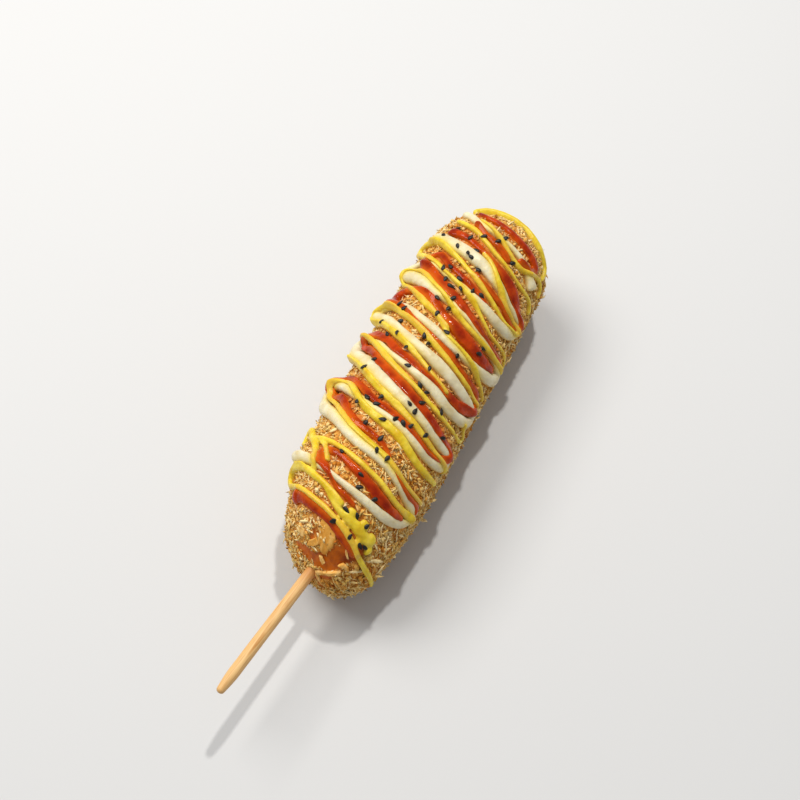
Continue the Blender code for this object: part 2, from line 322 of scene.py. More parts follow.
@dataclass(frozen=True)
class Form:
    """The fried body's outer form: a turned barrel with superellipse ends, slightly bent and skewed.

    It repeats the solid body's construction, at the radius of the batter under the crumbs.
    """

    length: float = 159.0
    radius: float = 23.9
    stick_end: tuple[float, float] = (32.0, 2.4)
    far_end: tuple[float, float] = (24.0, 2.4)
    axis_height: float = 24.2
    bow: float = 1.5
    droop: tuple[float, float] = (2.0, 64.0)
    skew: tuple[float, float, float] = (0.26, 0.28, 40.0)
    pinch_left: tuple[float, ...] = (0.13, 0.0, 9.0, 14.0, 34.0)
    pinch_right: tuple[float, ...] = (0.07, 7.0, 18.0, 24.0, 42.0)
    origin: tuple[float, float] = (53.5, -0.9)
    arc_radius: float = 24.0

    def radius_at(self, x: Array) -> Array:
        """Radius of the turned form: one less a power of the way into each end, then its root."""
        near = np.clip((self.stick_end[0] - x) / self.stick_end[0], 0, 1) ** self.stick_end[1]
        far = np.clip((x - self.length + self.far_end[0]) / self.far_end[0], 0, 1) ** self.far_end[1]
        return self.radius * (1 - near) ** (1 / self.stick_end[1]) * (1 - far) ** (1 / self.far_end[1])

    @cached_property
    def outline(self) -> tuple[Array, Array, Array, Array, Array]:
        """The outline as tables over its run: run, x, radius, and the slopes of x and radius."""
        x = self.length * (0.5 - 0.5 * np.cos(np.linspace(0.0, math.pi, 6001)))
        radius = self.radius_at(x)
        run = np.concatenate([[0.0], np.cumsum(np.hypot(np.diff(x), np.diff(radius)))])
        even = np.linspace(0.0, run[-1], 4001)
        x, radius = np.interp(even, run, x), np.interp(even, run, radius)
        return even, x, radius, np.gradient(x, even), np.gradient(radius, even)

    @property
    def run_end(self) -> float:
        """Length of the outline from pole to pole."""
        return float(self.outline[0][-1])

    def run_of(self, x: Array) -> Array:
        """The run at which the outline reaches x."""
        return np.interp(x, self.outline[1], self.outline[0])

    def at_run(self, run: Array) -> tuple[Array, Array, Array, Array]:
        """x, radius and their slopes at each run."""
        table = self.outline
        return tuple(np.interp(run, table[0], table[k]) for k in (1, 2, 3, 4))

    def place(self, x: Array, across: Array, up: Array) -> Array:
        """Moves points of the straight turned form onto the bent body.

        The axis bows to one side at each end, with the square of the way from the middle, and droops
        towards the stick; the stick end's points lean along X by a share of how far they are across
        and up. Each side of the body is pinched behind the stick end by a share that grows from one
        x to the next and fades between two more. Nothing reaches below the surface it lies on.

        Args:
            x: along the straight form.
            across: from its axis, towards +Y.
            up: from its axis, towards +Z.

        Returns:
            Points in millimetres in the object's own frame, (..., 3).
        """
        along = (x - self.length / 2) / (self.length / 2)
        bow = -self.bow * np.sign(along) * along**2
        sink = -self.droop[0] * np.clip(1 - x / self.droop[1], 0, 1) ** 2
        lean = np.clip(1 - x / self.skew[2], 0, 1) ** 1.5 * (self.skew[0] * across + self.skew[1] * up)
        sideways = ease(0.35, 0.95, np.abs(across) / np.maximum(np.hypot(across, up), 1e-6))
        left, right = (
            share * ease(start, full, x) * ease(end, until, x)
            for share, start, full, until, end in (self.pinch_left, self.pinch_right)
        )
        across = across * (1 - np.where(across > 0, left, right) * sideways)
        height = np.maximum(self.axis_height + sink + up, 0.0)
        return np.stack([x + lean - self.origin[0], bow + across - self.origin[1], height], axis=-1)

    def normal(self, run: Array, arc: Array) -> Array:
        """Outward normal of the straight form: the outline's slope turned by a right angle."""
        _, _, along, outward = self.at_run(run)
        angle = arc / self.arc_radius
        return np.stack([-outward, along * np.sin(angle), along * np.cos(angle)], axis=-1)

    def on_crust(self, run: Array, arc: Array, height: Array | float, offset: Array | None = None) -> Array:
        """Points at a height above the batter, along its normal.

        Args:
            run: places along the outline.
            arc: places round it.
            height: heights above the batter.
            offset: extra steps in the straight form's own directions, (..., 3).

        Returns:
            Points in the object's own frame, (..., 3).
        """
        x, radius, _, _ = self.at_run(run)
        angle = arc / self.arc_radius
        base = np.stack([x, radius * np.sin(angle), radius * np.cos(angle)], axis=-1)
        base = base + self.normal(run, arc) * np.asarray(height)[..., None]
        if offset is not None:
            base = base + offset
        return self.place(base[..., 0], base[..., 1], base[..., 2])

    def frames(self, run: Array, arc: Array) -> Array:
        """Local frames as rows: along the outline, round it, and outwards.

        Args:
            run: places along the outline.
            arc: places round it.

        Returns:
            The frames, (..., 3, 3).
        """
        _, _, along, outward = self.at_run(run)
        angle = arc / self.arc_radius
        zero = np.zeros_like(angle)
        forward = np.stack([along, outward * np.sin(angle), outward * np.cos(angle)], axis=-1)
        round_it = np.stack([zero, np.cos(angle), -np.sin(angle)], axis=-1)
        return np.stack([forward, round_it, self.normal(run, arc)], axis=-2)


# ---------------------------------------------------------------------------------------------------
# Finishes
# ---------------------------------------------------------------------------------------------------


@dataclass(frozen=True)
class FriedBatter:
    """Wheat batter fried in oil: a blistered orange-brown skin, glossy with oil where it is bare.

    Between the crumbs it shows as warm brown gaps, partly the batter's own colour and partly painted shade in the
    recesses, and on the bare patch as a smooth, oily sheen.
    """

    gap_shade: str = "#984806"
    mid: str = "#BC7024"
    pale: str = "#DCA24C"
    bare: str = "#C8640C"
    bare_dark: str = "#883604"
    stain: str = "#B5470C"

    def material(self) -> bpy.types.Material:
        """Builds the finish: relief sets pale tops and brown gaps, the gaps deepened by painted shade, and the bare
        mask sets oily skin.

        Returns:
            The material, which reads the point values "relief", "bare" and "stain".
        """
        material, shader = new_finish("fried_batter", {"IOR": 1.45, "Specular IOR Level": 0.18})
        tree = material.node_tree
        place = add_node(tree, "ShaderNodeTexCoord")
        relief = add_node(tree, "ShaderNodeAttribute", {"attribute_name": "relief"})
        bare = add_node(tree, "ShaderNodeAttribute", {"attribute_name": "bare"})
        stain = add_node(tree, "ShaderNodeAttribute", {"attribute_name": "stain"})
        # Browning comes in patches of about 7 mm, the size of the fold of batter under the crumbs.
        patches = add_node(
            tree, "ShaderNodeTexNoise", {"Scale": 150.0, "Detail": 4.0}, {"Vector": place.outputs["Object"]}
        )
        # Single crumb fragments are about 0.6 mm.
        specks = add_node(
            tree, "ShaderNodeTexNoise", {"Scale": 1500.0, "Detail": 3.0}, {"Vector": place.outputs["Object"]}
        )
        height = add_node(
            tree,
            "ShaderNodeMath",
            {"operation": "MULTIPLY_ADD", 1: 0.5},
            {0: specks.outputs["Fac"], 2: relief.outputs["Fac"]},
        )
        # Low relief between the crumb domes takes the gap colour: the batter's own browner colour, deepened as
        # painted shade in the recesses.
        crumbly = add_node(
            tree,
            "ShaderNodeValToRGB",
            {"stops": [(0.25, self.gap_shade), (0.6, self.mid), (0.95, self.pale)]},
            {"Fac": height.outputs[0]},
        )
        skin = add_node(
            tree,
            "ShaderNodeValToRGB",
            {"stops": [(0.34, self.bare_dark), (0.56, self.bare)]},
            {"Fac": patches.outputs["Fac"]},
        )
        colour = add_node(
            tree,
            "ShaderNodeMix",
            {"data_type": "RGBA"},
            {0: bare.outputs["Fac"], 6: crumbly.outputs["Color"], 7: skin.outputs["Color"]},
        )
        overlaid = add_node(
            tree,
            "ShaderNodeMix",
            {"data_type": "RGBA", 7: srgb(self.stain)},
            {0: stain.outputs["Fac"], 6: colour.outputs[2]},
        )
        roughness = add_node(
            tree, "ShaderNodeMapRange", {"To Min": 0.8, "To Max": 0.28}, {"Value": bare.outputs["Fac"]}
        )
        bump = add_node(
            tree,
            "ShaderNodeBump",
            {"Strength": 0.5, "Distance": 0.0003},
            {"Height": specks.outputs["Fac"]},
        )
        tree.links.new(overlaid.outputs[2], shader.inputs["Base Color"])
        tree.links.new(roughness.outputs[0], shader.inputs["Roughness"])
        tree.links.new(bump.outputs[0], shader.inputs["Normal"])
        return material


@dataclass(frozen=True)
class FriedCrumb:
    """Coarse dry breadcrumb fried golden: each crumb its own shade from pale straw to toasted brown."""

    burnt: str = "#A05406"
    toasted: str = "#D28A2C"
    golden: str = "#E8BE66"
    straw: str = "#F5DBA0"
    stain: str = "#C8601E"

    def material(self) -> bpy.types.Material:
        """Builds the finish.

        Returns:
            The material, which reads the point values "tone" and "stain", one number a crumb.
        """
        material, shader = new_finish(
            "fried_breadcrumb", {"Roughness": 0.7, "IOR": 1.45, "Specular IOR Level": 0.2}
        )
        tree = material.node_tree
        place = add_node(tree, "ShaderNodeTexCoord")
        tone = add_node(tree, "ShaderNodeAttribute", {"attribute_name": "tone"})
        stain = add_node(tree, "ShaderNodeAttribute", {"attribute_name": "stain"})
        # Pores of about 0.4 mm break up each crumb.
        pores = add_node(
            tree, "ShaderNodeTexNoise", {"Scale": 2400.0, "Detail": 2.0}, {"Vector": place.outputs["Object"]}
        )
        shade = add_node(
            tree,
            "ShaderNodeMath",
            {"operation": "MULTIPLY_ADD", 1: 0.35},
            {0: pores.outputs["Fac"], 2: tone.outputs["Fac"]},
        )
        colour = add_node(
            tree,
            "ShaderNodeValToRGB",
            {"stops": [(0.12, self.burnt), (0.38, self.toasted), (0.68, self.golden), (1.0, self.straw)]},
            {"Fac": shade.outputs[0]},
        )
        overlaid = add_node(
            tree,
            "ShaderNodeMix",
            {"data_type": "RGBA", 7: srgb(self.stain)},
            {0: stain.outputs["Fac"], 6: colour.outputs["Color"]},
        )
        bump = add_node(
            tree,
            "ShaderNodeBump",
            {"Strength": 0.5, "Distance": 0.0002},
            {"Height": pores.outputs["Fac"]},
        )
        tree.links.new(overlaid.outputs[2], shader.inputs["Base Color"])
        tree.links.new(bump.outputs[0], shader.inputs["Normal"])
        return material


@dataclass(frozen=True)
class SauceFinish:
    """A squeezed sauce: its body colour, its colours where it thins and meets another, and its wetness."""

    name: str
    body: str
    mottled: str
    bright: str
    thin: str
    tinted: str
    roughness: float
    specular: float
    scatter: float
    scatter_length: tuple[float, float, float]

    def material(self) -> bpy.types.Material:
        """Builds the finish: a drifting body colour that turns to the thin and tinted ones.

        Returns:
            The material, which reads the point values "thin" and "tint".
        """
        material, shader = new_finish(
            self.name,
            {
                "IOR": 1.42,
                "Roughness": self.roughness,
                "Specular IOR Level": self.specular,
                "Subsurface Weight": self.scatter,
                "Subsurface Radius": self.scatter_length,
                "Subsurface Scale": 0.0012,
            },
        )
        tree = material.node_tree
        place = add_node(tree, "ShaderNodeTexCoord")
        thin = add_node(tree, "ShaderNodeAttribute", {"attribute_name": "thin"})
        tint = add_node(tree, "ShaderNodeAttribute", {"attribute_name": "tint"})
        # The sauce varies in patches of about 5 mm, as it was stirred and squeezed.
        drift = add_node(
            tree, "ShaderNodeTexNoise", {"Scale": 200.0, "Detail": 2.0}, {"Vector": place.outputs["Object"]}
        )
        soft = add_node(
            tree,
            "ShaderNodeMapRange",
            {"From Min": 0.35, "From Max": 0.75},
            {"Value": drift.outputs["Fac"]},
        )
        body = add_node(
            tree,
            "ShaderNodeValToRGB",
            {"stops": [(0.1, self.bright), (0.45, self.body), (0.9, self.mottled)]},
            {"Fac": soft.outputs[0]},
        )
        overlaid = add_node(
            tree,
            "ShaderNodeMix",
            {"data_type": "RGBA", 7: srgb(self.tinted)},
            {0: tint.outputs["Fac"], 6: body.outputs["Color"]},
        )
        colour = add_node(
            tree,
            "ShaderNodeMix",
            {"data_type": "RGBA", 7: srgb(self.thin)},
            {0: thin.outputs["Fac"], 6: overlaid.outputs[2]},
        )
        # Faint dimples of about 1.5 mm keep the highlights from lying dead straight.
        dimples = add_node(
            tree, "ShaderNodeTexNoise", {"Scale": 600.0, "Detail": 1.0}, {"Vector": place.outputs["Object"]}
        )
        bump = add_node(
            tree,
            "ShaderNodeBump",
            {"Strength": 0.45, "Distance": 0.0005},
            {"Height": dimples.outputs["Fac"]},
        )
        tree.links.new(colour.outputs[2], shader.inputs["Base Color"])
        tree.links.new(bump.outputs[0], shader.inputs["Normal"])
        return material


# Egg-and-oil emulsion, dense and opaque: light soaks in a little, so its shadows stay creamy.
MAYONNAISE = SauceFinish(
    "mayonnaise_emulsion",
    "#DACCA4",
    "#D2C08F",
    "#E1D6B2",
    "#DCC07C",
    "#E2C85C",
    0.38,
    0.4,
    0.3,
    (1.0, 0.85, 0.5),
)
# Strained tomato paste with sugar and vinegar: wet, deep red in the thick of it, orange where it thins.
KETCHUP = SauceFinish(
    "tomato_ketchup",
    "#9C2A02",
    "#801802",
    "#B83C04",
    "#C85808",
    "#CC620A",
    0.12,
    0.22,
    0.1,
    (1.0, 0.25, 0.08),
)
# Ground mustard with turmeric, smooth and opaque, its yellow deepening in its own shade.
MUSTARD = SauceFinish(
    "yellow_mustard",
    "#DDC02A",
    "#D4AE18",
    "#E8CC42",
    "#E0BE4C",
    "#DCB436",
    0.34,
    0.36,
    0.3,
    (1.0, 0.75, 0.15),
)


@dataclass(frozen=True)
class SesameCoat:
    """The hull of black sesame: near black with a dull waxy sheen and faint ribs."""

    hull: str = "#16130F"
    worn: str = "#332D24"

    def material(self) -> bpy.types.Material:
        """Builds the finish: fine mottling of the hull, with ribs about 0.3 mm apart as bump.

        Returns:
            The material.
        """
        material, shader = new_finish("sesame_hull", {"Roughness": 0.42, "Specular IOR Level": 0.3})
        tree = material.node_tree
        place = add_node(tree, "ShaderNodeTexCoord")
        grain = add_node(
            tree, "ShaderNodeTexNoise", {"Scale": 2500.0, "Detail": 2.0}, {"Vector": place.outputs["Object"]}
        )
        colour = add_node(
            tree,
            "ShaderNodeValToRGB",
            {"stops": [(0.4, self.hull), (0.8, self.worn)]},
            {"Fac": grain.outputs["Fac"]},
        )
        bump = add_node(
            tree, "ShaderNodeBump", {"Strength": 0.4, "Distance": 0.0001}, {"Height": grain.outputs["Fac"]}
        )
        tree.links.new(colour.outputs["Color"], shader.inputs["Base Color"])
        tree.links.new(bump.outputs[0], shader.inputs["Normal"])
        return material


@dataclass(frozen=True)
class TurnedBamboo:
    """A bamboo skewer turned round and left bare: straw coloured, with fine darker fibres along it."""

    straw: str = "#E9BE7E"
    fibre: str = "#C98F4C"
    oiled: str = "#B9752F"

    def material(self) -> bpy.types.Material:
        """Builds the finish: noise drawn out along the stick, and a darker colour towards the crust.

        Returns:
            The material, which reads the point values "along", in metres, and "oiled".
        """
        material, shader = new_finish("turned_bamboo", {"Roughness": 0.5, "Specular IOR Level": 0.35})
        tree = material.node_tree
        along = add_node(tree, "ShaderNodeAttribute", {"attribute_name": "along"})
        side = add_node(tree, "ShaderNodeAttribute", {"attribute_name": "side"})
        oiled = add_node(tree, "ShaderNodeAttribute", {"attribute_name": "oiled"})
        # Fibres are about 0.25 mm apart across the stick and 12 mm long.
        place = add_node(
            tree, "ShaderNodeCombineXYZ", None, {"X": along.outputs["Fac"], "Y": side.outputs["Fac"]}
        )
        fibres = add_node(
            tree, "ShaderNodeTexNoise", {"Scale": 1.0, "Detail": 4.0}, {"Vector": place.outputs[0]}
        )
        colour = add_node(
            tree,
            "ShaderNodeValToRGB",
            {"stops": [(0.32, self.fibre), (0.6, self.straw)]},
            {"Fac": fibres.outputs["Fac"]},
        )
        # Darker towards the crust.
        overlaid = add_node(
            tree,
            "ShaderNodeMix",
            {"data_type": "RGBA", 7: srgb(self.oiled)},
            {0: oiled.outputs["Fac"], 6: colour.outputs["Color"]},
        )
        bump = add_node(
            tree, "ShaderNodeBump", {"Strength": 0.3, "Distance": 0.0001}, {"Height": fibres.outputs["Fac"]}
        )
        tree.links.new(overlaid.outputs[2], shader.inputs["Base Color"])
        tree.links.new(bump.outputs[0], shader.inputs["Normal"])
        return material


# ---------------------------------------------------------------------------------------------------
# The terrain of the crust and sauces
# ---------------------------------------------------------------------------------------------------


@dataclass
class Terrain:
    """A map over (run, arc) of how high the crumbs and the sauces laid so far stand above the batter."""

    form: Form
    crumb_height: float = 0.55
    cell: float = 0.3
    edge: float = 60.0
    heights: Array = field(init=False)

    def __post_init__(self) -> None:
        """Starts with the crumb coat alone."""
        shape = (int(self.form.run_end / self.cell) + 1, int(2 * self.edge / self.cell) + 1)
        self.heights = np.full(shape, self.crumb_height)

    def cells(self, plane: Array) -> tuple[Array, Array]:
        """Whole-number cells of (run, arc) places, kept inside the map."""
        row = np.rint(plane[..., 0] / self.cell).astype(int).clip(0, self.heights.shape[0] - 1)
        column = np.rint((plane[..., 1] + self.edge) / self.cell).astype(int)
        return row, column.clip(0, self.heights.shape[1] - 1)

    def read(self, field_map: Array, plane: Array) -> Array:
        """A map's value at each (run, arc) place, blended between its four nearest cells.

        Args:
            field_map: a map of this terrain's shape.
            plane: places, (..., 2).

        Returns:
            One value for each place.
        """
        row = (plane[..., 0] / self.cell).clip(0, field_map.shape[0] - 1.001)
        column = ((plane[..., 1] + self.edge) / self.cell).clip(0, field_map.shape[1] - 1.001)
        r, c = row.astype(int), column.astype(int)
        u, v = row - r, column - c
        return (
            field_map[r, c] * (1 - u) * (1 - v)
            + field_map[r + 1, c] * u * (1 - v)
            + field_map[r, c + 1] * (1 - u) * v
            + field_map[r + 1, c + 1] * u * v
        )

    def smooth(self, spread: float) -> Array:
        """The heights smoothed over a spread in millimetres, as thick sauce bridges small steps."""
        return blurred(self.heights, spread / self.cell)

    def lay(self, points: Array) -> Array:
        """Raises the map to a sauce's surface.

        Args:
            points: the sauce's points as (run, arc, height), closer together than a cell or so.

        Returns:
            A map of where the sauce lies, from 0 to 1.
        """
        row, column = self.cells(points[:, :2])
        raised = np.zeros_like(self.heights)
        np.maximum.at(raised, (row, column), points[:, 2])
        around = [np.roll(raised, (i, j), (0, 1)) for i in (-1, 0, 1) for j in (-1, 0, 1)]
        raised = np.maximum(raised, np.where(raised > 0, 0, np.max(around, axis=0)))
        covered = raised > self.heights
        self.heights = np.maximum(self.heights, raised)
        return covered.astype(float)


# ---------------------------------------------------------------------------------------------------
# Sauces
# ---------------------------------------------------------------------------------------------------


@dataclass
class Sauce:
    """One sauce: the lines it was squeezed in, its usual section, and how it lies on what is under it.

    A line is points of x, arc and width, and where it hangs clear of the crust, how far, all in
    millimetres. A drop is x, arc, radius and crown.
    """

    name: str
    finish: SauceFinish
    lines: tuple[Line, ...]
    width: float
    height: float
    drape: float
    seed: int
    drops: Line = ()
    uneven: float = 1.0
    ring: int = 20
    step: float = 0.5
    voxel: float = 0.34
    relax: int = 3
    points: Array = field(init=False, default_factory=lambda: np.zeros((0, 3)))
    plane: Array = field(init=False, default_factory=lambda: np.zeros((0, 2)))
    faces: Array = field(init=False, default_factory=lambda: np.zeros((0, 4), int))
    thin: Array = field(init=False, default_factory=lambda: np.zeros(0))

    def path(self, line: Line, form: Form) -> Array:
        """The line's path: a Catmull-Rom curve through its points.

        Args:
            line: the squeezed line.
            form: the crust's form.

        Returns:
            Even points of (run, arc, width, lift), a step apart.
        """
        rough = np.array([(*point, 0.0)[:4] for point in line], float)
        rough[:, 0] = form.run_of(rough[:, 0])
        ends = np.vstack([2 * rough[0] - rough[1], rough, 2 * rough[-1] - rough[-2]])
        a, b, c, d = ends[:-3, None], ends[1:-2, None], ends[2:-1, None], ends[3:, None]
        t = np.linspace(0, 1, 16, endpoint=False)[None, :, None]
        curve = 0.5 * (2 * b + (c - a) * t + (2 * a - 5 * b + 4 * c - d) * t**2)
        curve = curve + 0.5 * (3 * (b - c) + d - a) * t**3
        curve = np.vstack([curve.reshape(-1, 4), rough[-1:]])
        way = np.concatenate([[0], np.cumsum(np.linalg.norm(np.diff(curve[:, :2], axis=0), axis=1))])
        even = np.linspace(0, way[-1], int(way[-1] / self.step) + 2)
        return np.column_stack([np.interp(even, way, curve[:, k]) for k in range(4)])

    def bead(self, path: Array, terrain: Terrain, under: Array) -> tuple[Array, Array]:
        """A closed bead along a path, laid flat: its points are (run, arc, height).

        The section is a superellipse dome over the smoothed terrain, with a sunk underside. The
        path, width and height wander a little, and the ends are rounded off.

        Args:
            path: points of (run, arc, width, lift).
            terrain: what it lies on.
            under: the terrain's smoothed heights.

        Returns:
            The bead's points and triangles.
        """
        count = len(path)
        way = np.arange(count) * self.step
        line = np.column_stack([way, np.full(count, 7.0 * self.seed), path[:, 0] * 0.05])
        wander = 0.16 * soft_noise(line, 6.0, self.seed) + 0.08 * soft_noise(line, 2.2, self.seed + 1)
        swell = 0.1 * soft_noise(line, 5.0, self.seed + 2) + 0.08 * soft_noise(line, 1.9, self.seed + 3)
        wander, swell = wander * self.uneven, 1 + swell * self.uneven
        from_end = np.minimum(way, way[-1] - way)
        half = 0.5 * path[:, 2] * swell
        rounding = np.sqrt(np.clip(1 - (1 - np.clip(from_end / half.mean(), 0, 1)) ** 2, 0.02, 1))
        half = half * rounding
        crown = self.height * np.clip(0.3 + 0.7 * path[:, 2] / self.width, 0, 1.35) * rounding
        crown = crown * (1 + 0.14 * soft_noise(line, 3.5, self.seed + 4))
        ahead = np.gradient(path[:, :2], axis=0)
        ahead /= np.linalg.norm(ahead, axis=1, keepdims=True)
        side = np.column_stack([-ahead[:, 1], ahead[:, 0]])
        middle = path[:, :2] + side * wander[:, None]
        angle = np.linspace(0, 2 * math.pi, self.ring, endpoint=False)
        across = np.sign(np.cos(angle)) * np.abs(np.cos(angle)) ** 0.85
        dome = np.clip(np.sin(angle), 0, 1) ** 0.85
        plane = middle[:, None] + side[:, None] * (half[:, None] * across[None])[..., None]
        top = terrain.read(under, plane) + crown[:, None] * dome[None] + path[:, 3:4]
        low = terrain.read(terrain.heights, plane) - 0.9 * rounding[:, None] + 0.4 * path[:, 3:4]
        height = np.where(np.sin(angle)[None] >= -1e-9, np.maximum(top, low + 0.3), low)
        points = np.concatenate([plane, height[..., None]], axis=-1).reshape(-1, 3)
        tips = points.reshape(count, self.ring, 3)[[0, -1]].mean(axis=1)
        return np.vstack([points, tips]), closed_tube(count, self.ring)

    def drop(self, spot: tuple[float, ...], terrain: Terrain, under: Array) -> tuple[Array, Array]:
        """A round drop laid flat, as a squashed ball.

        Args:
            spot: its x, arc, radius and crown.
            terrain: what it lies on.
            under: the terrain's smoothed heights.

        Returns:
            The drop's points and triangles.
        """
        x, arc, radius, crown = spot
        rise = np.linspace(-math.pi / 2, math.pi / 2, 14)[1:-1]
        turn = np.linspace(0, 2 * math.pi, 24, endpoint=False)
        ring = radius * np.cos(rise)[:, None] * (1 + 0.08 * np.sin(3 * turn + self.seed)[None])
        centre = np.array([terrain.form.run_of(np.array(x)), arc])
        plane = centre + np.stack([ring * np.cos(turn), ring * np.sin(turn)], axis=-1)
        base = terrain.read(under, plane)
        lift = np.where(rise > 0, crown, 1.0)[:, None] * np.sin(rise)[:, None]
        points = np.concatenate([plane, (base + lift)[..., None]], axis=-1).reshape(-1, 3)
        rings = points.reshape(len(rise), len(turn), 3)
        tips = rings[[0, -1]].mean(axis=1)
        return np.vstack([points, tips]), closed_tube(len(rise), len(turn))

    def melt(self, points: Array, faces: Array) -> tuple[Array, Array]:
        """Runs overlapping beads into one skin: a voxel remesh, then points eased to their neighbours.

        Args:
            points: the beads' points, laid flat.
            faces: their triangles.

        Returns:
            The skin's points and quads.
        """
        mesh = bpy.data.meshes.new("beads")
        mesh.from_pydata(points, [], faces)
        beads = bpy.data.objects.new("beads", mesh)
        bpy.context.scene.collection.objects.link(beads)
        skin = beads.modifiers.new("melt", "REMESH")
        skin.mode, skin.voxel_size = "VOXEL", self.voxel
        melted = bpy.data.meshes.new_from_object(beads.evaluated_get(bpy.context.evaluated_depsgraph_get()))
        bpy.data.objects.remove(beads)
        where = np.empty(len(melted.vertices) * 3, np.float32)
        melted.vertices.foreach_get("co", where)
        corners = np.empty(len(melted.loops), np.int32)
        melted.loops.foreach_get("vertex_index", corners)
        pairs = np.empty(len(melted.edges) * 2, np.int32)
        melted.edges.foreach_get("vertices", pairs)
        bpy.data.meshes.remove(melted)
        where, pairs = where.reshape(-1, 3).astype(float), pairs.reshape(-1, 2)
        both = np.concatenate([pairs, pairs[:, ::-1]])
        count = np.bincount(both[:, 0], minlength=len(where))[:, None]
        for _ in range(self.relax):
            total = np.column_stack(
                [np.bincount(both[:, 0], where[both[:, 1], k], len(where)) for k in range(3)]
            )
            where = where + 0.5 * (total / count - where)
        return where, corners.reshape(-1, 4)

    def lay(self, terrain: Terrain) -> Array:
        """Builds the whole sauce on the terrain and raises the terrain to it.

        Args:
            terrain: what it lies on, which is changed.

        Returns:
            A map of where the sauce lies.
        """
        under = terrain.smooth(self.drape)
        made = [self.bead(self.path(line, terrain.form), terrain, under) for line in self.lines]
        made += [self.drop(spot, terrain, under) for spot in self.drops]
        starts = np.cumsum([0] + [len(points) for points, _ in made[:-1]])
        flat = np.vstack([points for points, _ in made])
        faces = np.vstack([faces + start for (_, faces), start in zip(made, starts)])
        skin, self.faces = self.melt(flat, faces)
        above = skin[:, 2] - terrain.read(under, skin[:, :2])
        self.thin, self.plane = ease(0.6, 0.1, above / self.height), skin[:, :2]
        self.points = terrain.form.on_crust(skin[:, 0], skin[:, 1], skin[:, 2])
        return terrain.lay(skin)

    def build(self, terrain: Terrain, over: Array) -> bpy.types.Object:
        """Makes the piece that stands for the solid sauce of the same name.

        Args:
            terrain: the map that the sauce was laid on.
            over: a map of the sauce that lies on or beside this one and tints it.

        Returns:
            The piece.
        """
        tint = np.clip(1.5 * terrain.read(blurred(over, 0.9 / terrain.cell), self.plane), 0, 1)
        return new_piece(
            f"{self.name}_beads",
            self.points,
            self.faces,
            self.finish.material(),
            self.name,
            (self.name,),
            {"thin": self.thin, "tint": tint},
        )


# ---------------------------------------------------------------------------------------------------
# Crust and crumbs
# ---------------------------------------------------------------------------------------------------


@dataclass(frozen=True)
class BarePatch:
    """Where the batter lost its crumbs, by the stick: a broad band, and small spots beside it.

    Each is a chain of discs in the plane across the stick end: how far across and up, and the radius.
    """

    chains: tuple[Line, ...] = (
        (
            (-12.6, 11.4, 2.3), (-9, 11, 3.5), (-6, 8.6, 3.8), (-2.5, 6.6, 2.9), (2.5, 6.2, 2.0),
            (7.2, 5, 1.3),
        ),
        ((-9.4, 12.5, 2.0), (-7.2, 16.6, 1.3)),
        ((2.4, 15, 1.0), (2.6, 11.5, 0.8)),
        ((-4.2, 0.4, 0.9), (-6.4, 2.4, 1.1)),
        ((-1.6, -1.6, 1.4), (-4.6, -4.4, 0.8)),
    )
    depth: float = 11.0

    def mask(self, form: Form, run: Array, arc: Array) -> Array:
        """How bare each place is, from 0 to 1: the way to the nearest chain, less its radius.

        Args:
            form: the crust's form.
            run: places along the outline.
            arc: places round it.

        Returns:
            One number for each place.
        """
        x, radius, _, _ = form.at_run(run)
        angle = arc / form.arc_radius
        across, up = radius * np.sin(angle), radius * np.cos(angle)
        where = np.stack([x, across, up], axis=-1)
        nearest = np.full(x.shape, 99.0)
        links = [pair for chain in self.chains for pair in zip(chain[:-1], chain[1:])]
        for (a, b, wide), (c, d, narrow) in links:
            share = ((across - a) * (c - a) + (up - b) * (d - b)) / ((c - a) ** 2 + (d - b) ** 2)
            share = np.clip(share, 0, 1)
            away = np.hypot(across - a - share * (c - a), up - b - share * (d - b))
            nearest = np.minimum(nearest, away - wide - share * (narrow - wide))
        ragged = 0.9 * soft_noise(where, 2.6, 71) + 0.5 * soft_noise(where, 1.1, 72)
        return ease(0.5, -0.4, nearest + ragged) * (x < self.depth)


